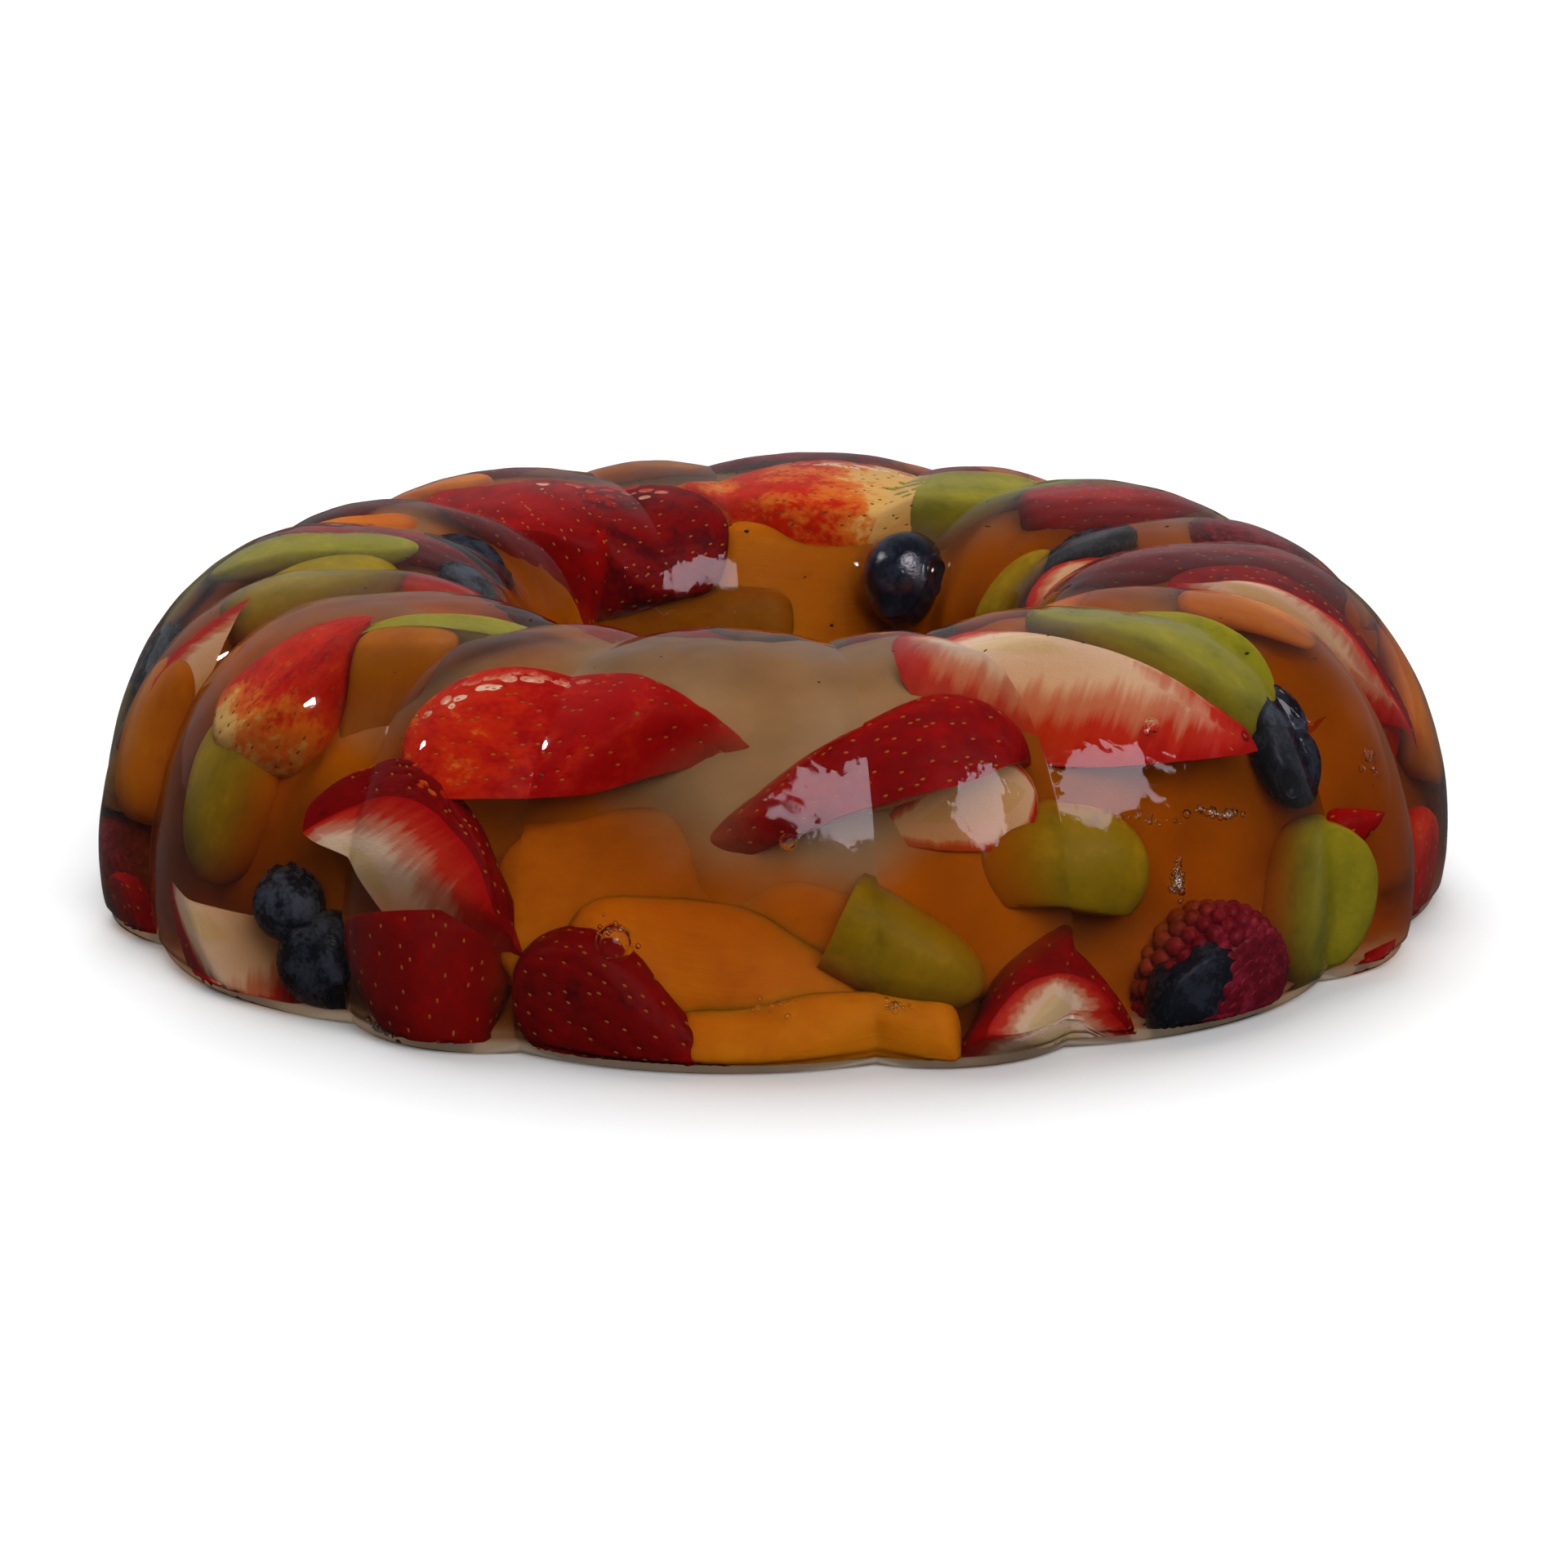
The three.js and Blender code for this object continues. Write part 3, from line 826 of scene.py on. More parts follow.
def filling_fruit(sizes, mould, view, pieces):
    """More pieces, the largest first, each kept only where it meets none before it. They lie
    mostly along the ring and close under the skin, but neither next to the skin that faces the
    view nor behind the front of the crest, where clear jelly shows between other pieces."""
    rng = np.random.default_rng(FILLING_SEED)
    centres = np.concatenate([p.spheres()[0] for p in pieces])
    radii = np.concatenate([np.full(SPHERES, p.spheres()[1]) for p in pieces])
    made = []
    for kind, size, most, (pale, dark), cuts in FILLERS:
        places = rng.uniform(-math.pi, math.pi, (sizes.tries, 2))
        count = 0
        for azimuth, angle in places:
            grown = np.array(size) * MM * rng.uniform(*FILLING_SIZES, 3)
            deep = grown[2] / 2 * rng.uniform(*FILLING_DEPTHS)
            place = mould.place(azimuth, angle, max(mould.reach(azimuth, angle) - deep, 0))
            normal = mould.skin_normal(place)
            crest = FRONT_CREST[0] < angle < FRONT_CREST[1] and place[1] < FRONT_OF
            if count == most or normal @ view.towards > FACES_VIEW or normal[2] < FACES_FLOOR or crest:
                continue
            along = np.array((math.cos(azimuth), math.sin(azimuth), 0)) + rng.normal(size=3) * ASTRAY
            along *= rng.choice([-1, 1]) / np.linalg.norm(along)
            side = np.cross(along, rng.normal(size=3))
            side /= np.linalg.norm(side)
            piece = Fruit(kind, tuple(grown), place, np.stack([along, side, np.cross(along, side)], 1),
                          tone=rng.uniform(pale, dark), fine=FILLING_FINE,
                          number=FILLING_NUMBERS + len(made), **cuts[rng.integers(len(cuts))])
            middle, radius = piece.spheres()
            apart = np.linalg.norm(centres - middle[:, None], axis=-1)
            if (mould.under_skin(middle) < radius * NEAREST_SKIN).any():
                continue
            if (apart < (radii + radius) * NEAREST_PIECE).any():
                continue
            centres = np.concatenate([centres, middle])
            radii = np.concatenate([radii, np.full(SPHERES, radius)])
            made.append(piece)
            count += 1
    return made


# ---------------------------------------------------------------- shapes of the fruit

# How uneven each kind is: how far a swirl pushes its points, and the swirl's wave length
SWIRLS = {"strawberry": (0.0006, 0.021), "grape": (0.00025, 0.016), "mango": (0.0007, 0.024),
          "blueberry": (0.00016, 0.009)}

LIKE_RADIUS = 12.0  # the streaks of a cut berry are as wide as on one of this radius in mm
STREAK_DEPTH = 0.12  # how fast streaks change inwards, to how fast they change along the cut

SHOULDER = 0.30  # where along a strawberry it is widest
PIT_RADIUS = 0.0008
SEED_HALF_SIZE = np.array((0.00040, 0.00021, 0.00018))  # along the berry, across, and out of its skin
SEED_LIFT = 0.00004
OFF_CUT = 0.07  # least distance of a seed from a cut, as a share of the half size

CROWN = 0.43  # radius of a blueberry's crown, as a share of its own
# Its lip and floor from there inwards: radius, height above the crown's edge, and how much higher
# the five points stand, as shares of the half size
CROWN_RINGS = [(0.40, 0.035, 0.05), (0.345, 0.05, 0.075), (0.30, 0.02, 0.04), (0.255, -0.06, 0.0),
               (0.18, -0.11, 0.0), (0.08, -0.12, 0.0), (0.0, -0.13, 0.0)]
STAR_REACH = 0.09  # how much further out the five points are
STAR_WITHIN = 0.2  # nearer the middle than this the crown is round

DRUPELETS = 240
DRUPELET_SHARE = 0.051  # radius of one, as a share of the raspberry's length
WEDGE = 0.28

OWN_STEP, OWN_ROOM = 37.0, 911.0  # how far in mm patterns move on from piece to piece, and at most


def turned(place, share, fruit, columns, disc=0):
    """A body turned round X and cut flat between two heights. Row i lies at place[i] of the
    length and is the circle of radius share[i], kept between low and high; circle and heights
    are in units of the half width and half thickness. With disc rows it begins with a flat
    cut across, from the middle out to the first circle. Points past under or over are pressed
    onto that plane across Y.

    Its values are along (0 to 1), rim (how far in from the skin, in mm as on a berry of
    LIKE_RADIUS), streak (where fibres are equal) and own (the place in mm on the piece before it
    is laid), and the mark cut is on cut faces."""
    size, low, high = fruit.size, fruit.low, fruit.high
    reach = np.concatenate([np.full(disc, share[0]), share])
    radius = np.concatenate([share[0] * np.linspace(0, 1, disc, endpoint=False), share])
    place = np.concatenate([np.full(disc, place[0]), place])
    steps = max(columns // 2, 6)
    flat = max(columns // 3, 4)
    safe = np.maximum(radius, TINY)
    lowest = np.arcsin(np.clip(low / safe, -1, 1))[:, None]
    highest = np.arcsin(np.clip(high / safe, -1, 1))[:, None]
    right = lowest + (highest - lowest) * np.linspace(0, 1, steps + 1)
    turn = np.concatenate([right, math.pi - right[:, ::-1]], 1)
    y, z = np.cos(turn) * radius[:, None], np.sin(turn) * radius[:, None]
    over = np.linspace(1, -1, flat + 1)[1:-1]
    first, second = slice(0, steps + 1), slice(steps + 1, None)
    top_y, low_y = y[:, steps:steps + 1] * over, -y[:, :1] * over
    top_z, low_z = z[:, steps:steps + 1] + 0 * over, z[:, :1] + 0 * over
    y = np.concatenate([y[:, first], top_y, y[:, second], low_y], 1)
    z = np.concatenate([z[:, first], top_z, z[:, second], low_z], 1)
    pressed = (y > fruit.over) | (y < fruit.under)
    y = np.clip(y, fruit.under, fruit.over)
    half = np.array(size) / 2
    grid = np.stack([(2 * place[:, None] - 1) * half[0] + 0 * y, y * half[1], z * half[2]], -1)
    edge = np.where(pressed, np.sqrt(np.maximum(reach[:, None] ** 2 - y ** 2, 0)) - np.abs(z),
                    np.sqrt(np.maximum(reach[:, None] ** 2 - z ** 2, 0)) - np.abs(y))
    edge[:disc] = (reach[:, None] - np.hypot(y, z))[:disc]
    inwards = edge * LIKE_RADIUS
    around = np.arctan2(z, y) * half[1] / MM
    streak = np.stack([grid[..., 0] / MM, around, inwards * STREAK_DEPTH], -1)
    cut = np.zeros((len(place) - 1, y.shape[1]))
    cut[:, steps:steps + flat] = high < 1
    cut[:, 2 * steps + flat + 1:] = low > -1
    cut[:disc] = 1
    beside = np.roll(pressed, -1, axis=1)
    cut[pressed[:-1] & pressed[1:] & beside[:-1] & beside[1:]] = 1
    values = {"along": place[:, None] + 0 * y, "rim": inwards * fruit.pale, "streak": streak,
              "own": grid / MM}
    return surface_of(grid, values, {"cut": cut})


def even_turn(rows, start=0.0):
    """Places from start to 1 along a body, closer together at the ends: half a cosine wave."""
    return start + (1 - start) * (1 - np.cos(np.linspace(0, math.pi, rows + 1))) / 2


def berry_share(place):
    """A strawberry's width along its length: a round shoulder, (1 - b^2.2)^0.5 at share b of the
    way back from SHOULDER to the stalk, then a taper, (1 - a^1.25)^0.9 at share a of the way on
    to the tip."""
    before = np.clip(1 - place / SHOULDER, 0, 1)
    after = np.clip((place - SHOULDER) / (1 - SHOULDER), 0, 1)
    return (1 - before ** 2.2) ** 0.5 * (1 - after ** 1.25) ** 0.9


def seed_spots(fruit, spacing, rng):
    """Places and angles of the seeds of a strawberry: a spiral that turns by the golden angle and
    gives each seed the same area of skin, on what the cuts leave of it."""
    fine = np.linspace(0, 1, 200)
    share = berry_share(fine)
    girth = math.pi * (fruit.size[1] + fruit.size[2]) / 2
    area = np.concatenate([[0], np.cumsum((share[1:] + share[:-1]) / 2 * fine[1])])
    count = int(area[-1] * girth * fruit.size[0] / spacing ** 2)
    place = np.interp((np.arange(count) + 0.5) / count * area[-1], area, fine)
    angle = np.arange(count) * GOLDEN_ANGLE + rng.normal(0, 0.10, count)
    place = np.clip(place + rng.normal(0, 0.006, count), 0.02, 0.985)
    kept = place > fruit.start + 0.02
    share = berry_share(place)
    for height, low, high in ((share * np.sin(angle), fruit.low, fruit.high),
                              (share * np.cos(angle), fruit.under, fruit.over)):
        kept &= (height > low + OFF_CUT) | (low <= -1)
        kept &= (height < high - OFF_CUT) | (high >= 1)
    return place[kept], angle[kept]


def strawberry(fruit, sizes, rng):
    """A turned body, berry_share wide. Its value pit is how deep the pit round each seed is, 1 at
    the seed and fading as exp(-d^2), and seats lists the points that the seeds lie on."""
    half = np.array(fruit.size) / 2
    grain = sizes.berry_grain / fruit.fine
    place = even_turn(max(round(2 * half[0] / grain), 12), fruit.start)
    disc = max(round(half[1] / grain), 6) if fruit.start else 0
    columns = max(round(math.pi * (half[1] + half[2]) / grain), 18)
    body = turned(place, berry_share(place), fruit, columns, disc)
    spot, angle = seed_spots(fruit, sizes.seed_spacing, rng)
    share = berry_share(spot)
    seats = np.stack([(2 * spot - 1) * half[0], share * np.cos(angle) * half[1],
                      share * np.sin(angle) * half[2]], -1)
    on_cut = np.zeros(len(body.points), bool)
    on_cut[body.faces[body.marks["cut"] > 0]] = True
    gap = np.linalg.norm(body.points[:, None] - seats[None], axis=-1)
    body.values["pit"] = np.exp(-(gap.min(1) / PIT_RADIUS) ** 2) * ~on_cut
    body.points = uneven(body.points, "strawberry", rng)
    body.seats = gap.argmin(0)
    return body


def seeded(body, fruit, sizes):
    """A strawberry in its place with its pits sunk and a seed lying in each, long way to the tip."""
    normals = point_normals(body)
    body.points = body.points - sizes.pit_depth * body.values["pit"][:, None] * normals
    normals = normals[body.seats]
    tangent = fruit.axes[:, 0] - (normals @ fruit.axes[:, 0])[:, None] * normals
    tangent /= np.linalg.norm(tangent, axis=1, keepdims=True)
    axes = np.stack([tangent, np.cross(normals, tangent), normals], 1) * SEED_HALF_SIZE[:, None]
    seeds = many(ball(3, 6), body.points[body.seats] + normals * SEED_LIFT, axes)
    each = len(seeds.points) // max(len(body.seats), 1)
    seeds.values = {"along": np.repeat(body.values["along"][body.seats], each), "own": seeds.points / MM}
    seeds.marks = {"seed": np.ones(len(seeds.faces))}
    return joined([body, seeds])


def grape(fruit, sizes, rng):
    """An ellipsoid, blunt at both ends: its width is (1 - |x|^2.3)^0.5 at share x of the half
    length."""
    place = even_turn(int(44 * fruit.fine), fruit.start)
    share = np.sqrt(1 - np.abs(2 * place - 1) ** 2.3)
    disc = 14 if fruit.start else 0
    body = turned(place, share, fruit, int(52 * fruit.fine), disc)
    body.points = uneven(body.points, "grape", rng)
    return body


def mango(fruit, sizes, rng):
    """A slice: the section is a superellipse (exponent 3), thinner at one side and thicker at the
    other by the share WEDGE, scaled by (1 - |u|^blunt)^0.4 at share u of the half length, and
    bent round an arc."""
    rows, columns = int(72 * fruit.fine), int(48 * fruit.fine)
    u = np.sin(np.linspace(-math.pi / 2, math.pi / 2, rows + 1))[:, None]
    around = np.arange(columns) * math.tau / columns
    across, above = (np.sign(v) * np.abs(v) ** (2 / 3) for v in (np.cos(around), np.sin(around)))
    half = np.array(fruit.size) / 2
    end = np.maximum(1 - np.abs(u) ** fruit.blunt, 0) ** 0.4
    y = across * end * half[1]
    z = above * end * half[2] * (1 - WEDGE * across)
    if fruit.bend:
        radius = fruit.size[0] / fruit.bend
        angle = u * fruit.bend / 2
        x, y = (radius + y) * np.sin(angle), (radius + y) * np.cos(angle) - radius
    else:
        x = u * half[0] + 0 * y
    grid = np.stack([x, y, z], -1)
    straight = np.stack([u * half[0] + 0 * y, y, z], -1)
    body = surface_of(grid, {"own": straight / MM})
    body.points = uneven(body.points, "mango", rng)
    return body


def blueberry(fruit, sizes, rng):
    """An ellipse turned round X up to its crown, a ring of five points whose lip stands
    1 + cos(5 a) high, and the sunken floor inside it."""
    half = np.array(fruit.size) / 2
    rows, columns = max(int(34 * fruit.fine), 16), max(int(50 * fruit.fine), 25)
    around = np.arange(columns) * math.tau / columns
    star = (1 + np.cos(5 * around)) / 2
    down = np.linspace(0, math.pi - math.asin(CROWN), rows + 1)[:, None]
    body_r, body_x = np.sin(down) + 0 * around, -np.cos(down) + 0 * around
    share, lift, point = np.array(CROWN_RINGS).T[..., None]
    r = np.concatenate([body_r, share * (1 + STAR_REACH * star * (share > STAR_WITHIN))])
    x = np.concatenate([body_x, body_x[-1] + lift + point * star])
    grid = np.stack([x * half[0], r * np.cos(around) * half[1], r * np.sin(around) * half[2]], -1)
    crowned = np.concatenate([np.zeros(rows + 1), np.ones(len(share))])[:, None] + 0 * around
    body = surface_of(grid, {"own": grid / MM, "crown": crowned})
    body.points = uneven(body.points, "blueberry", rng)
    return body


def raspberry(fruit, sizes, rng):
    """Drupelets as balls on an egg, a golden angle apart, round a core that closes the gaps. The
    egg is a ball times 1 - 0.15 x at share x of the half length."""
    half = np.array(fruit.size) / 2 * 0.90
    place = (np.arange(DRUPELETS) + 0.5) / DRUPELETS * 2 - 1
    angle = np.arange(DRUPELETS) * GOLDEN_ANGLE
    wide = np.sqrt(1 - place ** 2) * (1 - 0.15 * place)
    seats = np.stack([place * half[0], wide * np.cos(angle) * half[1], wide * np.sin(angle) * half[2]], -1)
    radius = DRUPELET_SHARE * rng.uniform(0.85, 1.1, DRUPELETS) * fruit.size[0]
    drupelets = many(ball(6, 10), seats, np.eye(3)[None] * radius[:, None, None])
    core = ball(12, 20)
    core.points = core.points * half * 1.05
    whole = joined([drupelets, core])
    whole.values["own"] = whole.points / MM
    return whole


# Each makes a piece round its own origin, with its length along X, from its fruit, the sizes and
# its draws
SHAPES = {"strawberry": strawberry, "grape": grape, "mango": mango, "blueberry": blueberry,
          "raspberry": raspberry}


def laid_in(fruit, sizes, mould):
    """The finished shape of a piece in its place, pressed flat where it meets the mould. Its value
    deep is how far in mm it lies under the skin, and own is moved on for each piece, so that no
    two have the same blotches."""
    rng = np.random.default_rng(fruit.number)
    shape = SHAPES[fruit.kind](fruit, sizes, rng)
    shape.points = mould.kept_in(shape.points @ fruit.axes.T + fruit.place, sizes.under_skin, sizes.give)
    shape.points[:, 2] = np.maximum(shape.points[:, 2], sizes.off_base)
    if shape.seats is not None:
        shape = seeded(shape, fruit, sizes)
    shape.values["deep"] = mould.under_skin(shape.points) / MM
    count = len(shape.points)
    shape.values["tone"] = np.full(count, fruit.tone)
    shape.values["own"] = shape.values["own"] + fruit.number * OWN_STEP % OWN_ROOM
    return shape


# ---------------------------------------------------------------- materials

# Colour stops, each a position from 0 to 1 and a colour
STRAWBERRY_SKIN = [  # from unripe to dark
    (0.0, (0.50, 0.30, 0.09)), (0.13, (0.48, 0.11, 0.010)), (0.30, (0.38, 0.012, 0.001)),
    (0.50, (0.26, 0.001, 0.001)), (0.80, (0.15, 0.001, 0.001)), (1.0, (0.06, 0.001, 0.002))]
STRAWBERRY_SEED = [  # by the berry's tone
    (0.0, (0.08, 0.03, 0.008)), (0.3, (0.14, 0.05, 0.01)), (0.6, (0.30, 0.09, 0.008)),
    (1.0, (0.26, 0.09, 0.010))]
STRAWBERRY_FLESH = [  # from the rim of a cut inwards
    (0.0, (0.30, 0.003, 0.002)), (0.35, (0.38, 0.018, 0.008)), (0.65, (0.44, 0.15, 0.09)),
    (1.0, (0.57, 0.405, 0.30))]
STRAWBERRY_HEART = (0.50, 0.36, 0.17)
HEART_FROM, HEART_TO = 9.8, 11.0  # how far in from the rim the heart of a cut begins, and is full
RASPBERRY_SKIN = [(0.0, (0.09, 0.001, 0.006)), (0.6, (0.15, 0.002, 0.012)), (1.0, (0.22, 0.012, 0.03))]
SPECK_BROWNS = [(0.0, (0.012, 0.006, 0.004)), (1.0, (0.09, 0.035, 0.015))]

JELLY_SKIN = (1, 0.985, 0.96, 1)
JELLY_SHADOW = (0.66, 0.66, 0.66, 1)  # what the jelly lets through of a lamp's light
OLIVE = (1.15, 0.72, 0.2)  # what a grape's colour is multiplied by at full tone
FLOOR_IN_SKIN = (0.05, 0.045, 0.04)  # the floor as the wet skin mirrors it
ROOM_COLOUR = (0.95, 0.97, 1.0, 1)

# The cloudy depth: heights from amber to beige (partly painted light), how far aside the beige is lowered
# and then lifted and by how much, how far blotches move it, and the heights of the painted pale foot and
# glow
BEIGE_HEIGHTS = (0.030, 0.044)
LIFT_ASIDE, LIFT = (0.012, 0.040), (0.008, -0.011)
LIFT_BLOTCH = 0.030
PAINTED_PALE_FOOT_HEIGHTS = (0.0010, 0.0045)
PAINTED_GLOW_HEIGHTS = (0.0012, 0.0036)
# How deep in mm a thing lies where the cloud over it starts and where it is thickest, and how much
# it covers there
CLOUD_DEPTHS, CLOUD_MOST = (6.0, 20.0), 0.92


def node(tree, kind, sockets=None, **settings):
    """Adds a node. Sockets by name or number take a link from another socket or a plain value."""
    made = tree.nodes.new(kind)
    for key, value in settings.items():
        setattr(made, key, value)
    for key, value in (sockets or {}).items():
        if isinstance(value, bpy.types.NodeSocket):
            tree.links.new(value, made.inputs[key])
        else:
            made.inputs[key].default_value = value
    return made


def ramp(tree, factor, stops):
    """A colour ramp with stops of (position, colour)."""
    made = node(tree, "ShaderNodeValToRGB", {0: factor})
    made.color_ramp.interpolation = "EASE"
    for position, colour in stops[1:-1]:
        made.color_ramp.elements.new(position)
    for element, (position, colour) in zip(made.color_ramp.elements, stops):
        element.position = position
        element.color = (*colour, 1)
    return made.outputs["Color"]


def mixed(tree, factor, a, b, blend="MIX"):
    """Colour a where factor is 0, and b, or a blended with b, where it is 1. Either may be plain."""
    a, b = (c if isinstance(c, bpy.types.NodeSocket) else (*c, 1) for c in (a, b))
    mix = node(tree, "ShaderNodeMix", {0: factor, 6: a, 7: b}, data_type="RGBA", blend_type=blend)
    return mix.outputs[2]


def scaled(tree, colour, factor):
    """A colour made lighter or darker by a factor."""
    return node(tree, "ShaderNodeVectorMath", {0: colour, "Scale": factor}, operation="SCALE").outputs[0]


def maths(tree, operation, a, b):
    """Two values, either of which may be plain, put together by an operation."""
    return node(tree, "ShaderNodeMath", {0: a, 1: b}, operation=operation).outputs[0]


def attribute(tree, name, output="Fac"):
    """What the piece's own attribute says: a number, or with output Vector three of them."""
    return node(tree, "ShaderNodeAttribute", attribute_name=name).outputs[output]


def object_place(tree):
    """The place of each point in metres, which is the same in every piece's object."""
    return node(tree, "ShaderNodeTexCoord").outputs["Object"]


def between(tree, value, low, high, to_low=0.0, to_high=1.0):
    """A smooth step as value goes from low to high, from to_low to to_high."""
    return node(tree, "ShaderNodeMapRange", {"Value": value, "From Min": low, "From Max": high,
                                             "To Min": to_low, "To Max": to_high},
                interpolation_type="SMOOTHSTEP").outputs["Result"]


def new_group(name, inputs, outputs):
    """A shader node group with named sockets: (name, kind, default) in, (name, kind) out."""
    group = bpy.data.node_groups.new(name, "ShaderNodeTree")
    for socket, kind, default in inputs:
        made = group.interface.new_socket(socket, in_out="INPUT", socket_type=kind)
        if default is not None:
            made.default_value = default
    for socket, kind in outputs:
        group.interface.new_socket(socket, in_out="OUTPUT", socket_type=kind)
    return group, group.nodes.new("NodeGroupInput"), group.nodes.new("NodeGroupOutput")


def mottle_group():
    """Slow and fine blotches of one pattern: a value round 0, Coarse plus Fine."""
    name = "Fruit mottle"
    if name in bpy.data.node_groups:
        return bpy.data.node_groups[name]
    group, given, out = new_group(name, [
        ("Place", "NodeSocketVector", None), ("Coarse scale", "NodeSocketFloat", 0.2),
        ("Fine scale", "NodeSocketFloat", 1.5), ("Fine share", "NodeSocketFloat", 0.4)],
        [("Value", "NodeSocketFloat")])
    coarse = node(group, "ShaderNodeTexNoise", {"Vector": given.outputs["Place"],
                                                "Scale": given.outputs["Coarse scale"], "Detail": 2.0})
    fine = node(group, "ShaderNodeTexNoise", {"Vector": given.outputs["Place"],
                                              "Scale": given.outputs["Fine scale"], "Detail": 3.0})
    slow = maths(group, "SUBTRACT", coarse.outputs["Fac"], 0.5)
    quick = maths(group, "MULTIPLY", maths(group, "SUBTRACT", fine.outputs["Fac"], 0.5),
                  given.outputs["Fine share"])
    group.links.new(maths(group, "ADD", slow, quick), out.inputs["Value"])
    return group


def mottle(tree, place, coarse, fine, share=0.4):
    """Blotches round 0 at a place: their coarse and fine scale, and the fine ones' share."""
    made = node(tree, "ShaderNodeGroup", node_tree=mottle_group())
    tree.links.new(place, made.inputs["Place"])
    made.inputs["Coarse scale"].default_value = coarse
    made.inputs["Fine scale"].default_value = fine
    made.inputs["Fine share"].default_value = share
    return made.outputs["Value"]


def haze_group(colours):
    """The cloudy depth of the jelly: its colour, beige under the crest and amber lower down in slow
    blotches and pale along the base, and how much of it lies over something a given number of
    millimetres deep. The beige is partly painted light, paler for the light that the thin clear jelly
    under the crest lets through, and the pale band along the base is painted light for the thin foot.
    The beige comes down furthest in the middle of the front and the back."""
    name = "Cloudy jelly"
    if name in bpy.data.node_groups:
        return bpy.data.node_groups[name]
    group, given, out = new_group(name, [("Deep", "NodeSocketFloat", 0.0)],
                                  [("Colour", "NodeSocketColor"), ("Over", "NodeSocketFloat")])
    place = object_place(group)
    apart = node(group, "ShaderNodeSeparateXYZ", {0: place}).outputs
    height, aside = apart["Z"], maths(group, "ABSOLUTE", apart["X"], 0.0)
    blotch = maths(group, "MULTIPLY", mottle(group, place, 26.0, 75.0, 0.3), LIFT_BLOTCH)
    lift = maths(group, "ADD", between(group, aside, *LIFT_ASIDE, *LIFT), blotch)
    # Partly painted light: the depth turns paler beige towards the crest
    high = between(group, maths(group, "ADD", height, lift), *BEIGE_HEIGHTS)
    # Painted light: a pale beige band along the base, for light coming through the thin foot
    foot = between(group, height, *PAINTED_PALE_FOOT_HEIGHTS, 1.0, 0.0)
    shade = between(group, mottle(group, place, 40.0, 130.0, 0.35), -0.25, 0.25, 0.75, 1.25)
    tint = mixed(group, high, tuple(colours.amber), tuple(colours.beige_and_painted_light))
    tint = mixed(group, foot, tint, tuple(colours.beige_and_painted_light))
    group.links.new(scaled(group, tint, shade), out.inputs["Colour"])
    over = between(group, given.outputs["Deep"], *CLOUD_DEPTHS, 0.0, CLOUD_MOST)
    group.links.new(over, out.inputs["Over"])
    return group


def clouded(tree, shader, colours, colour, gain=1.0):
    """Gives a shader its colour, seen through as much cloudy jelly as lies over each point. Depth
    counts gain times, for flesh that is cloudy itself."""
    haze = node(tree, "ShaderNodeGroup", node_tree=haze_group(colours))
    tree.links.new(maths(tree, "MULTIPLY", attribute(tree, "deep"), gain), haze.inputs["Deep"])
    # The cloud's colour carries the painted light of the beige crest and the pale base band
    tree.links.new(mixed(tree, haze.outputs["Over"], colour, haze.outputs["Colour"]),
                   shader.inputs["Base Color"])


def new_material(name):
    """A fresh material, its node tree, and its shader and output nodes."""
    material = bpy.data.materials.new(name)
    material.use_nodes = True
    tree = material.node_tree
    return material, tree, tree.nodes["Principled BSDF"], tree.nodes["Material Output"]


def bumped(tree, shader, height, strength, distance):
    """Gives a shader fine relief, as high as distance where height is 1 and strength is full."""
    made = node(tree, "ShaderNodeBump", {"Height": height, "Strength": strength, "Distance": distance})
    tree.links.new(made.outputs["Normal"], shader.inputs["Normal"])


def jelly_material(colours):
    """Clear wet jelly: refracting skin with faint flow marks, and amber that deepens with the way
    light goes. Shadows of the skin let lamps through to the fruit."""
    material, tree, shader, out = new_material("Clear amber jelly")
    place = object_place(tree)
    bumped(tree, shader, mottle(tree, place, 60.0, 210.0, 0.25), 0.30, 0.0006)
    tree.links.new(between(tree, mottle(tree, place, 120.0, 600.0), -0.2, 0.3, 0.01, 0.05),
                   shader.inputs["Roughness"])
    shader.inputs["Base Color"].default_value = JELLY_SKIN
    shader.inputs["IOR"].default_value = colours.jelly_index
    shader.inputs["Transmission Weight"].default_value = 1.0
    through = node(tree, "ShaderNodeBsdfTransparent", {0: JELLY_SHADOW})
    shadow = node(tree, "ShaderNodeLightPath").outputs["Is Shadow Ray"]
    both = node(tree, "ShaderNodeMixShader", {0: shadow, 1: shader.outputs[0], 2: through.outputs[0]})
    tree.links.new(both.outputs[0], out.inputs["Surface"])
    amber = node(tree, "ShaderNodeVolumeAbsorption", {"Color": (*colours.jelly, 1),
                                                      "Density": colours.jelly_strength})
    tree.links.new(amber.outputs[0], out.inputs["Volume"])
    return material


def depth_material(colours):
    """The cloudy depth itself, quite matt. Its thin foot is given a painted glow, an emission in its own
    haze colour that stands in for light coming through it.
    """
    material, tree, shader, _ = new_material("Cloudy jelly depth")
    haze = node(tree, "ShaderNodeGroup", node_tree=haze_group(colours))
    tree.links.new(haze.outputs["Colour"], shader.inputs["Base Color"])
    height = node(tree, "ShaderNodeSeparateXYZ", {0: object_place(tree)}).outputs["Z"]
    # Painted glow: the foot emits its own haze colour, fading out upwards, though it is no lamp
    tree.links.new(haze.outputs["Colour"], shader.inputs["Emission Color"])
    tree.links.new(between(tree, height, *PAINTED_GLOW_HEIGHTS, colours.painted_foot_glow, 0.0),
                   shader.inputs["Emission Strength"])
    soft_finish(shader, 0.9, 0.0)
    return material


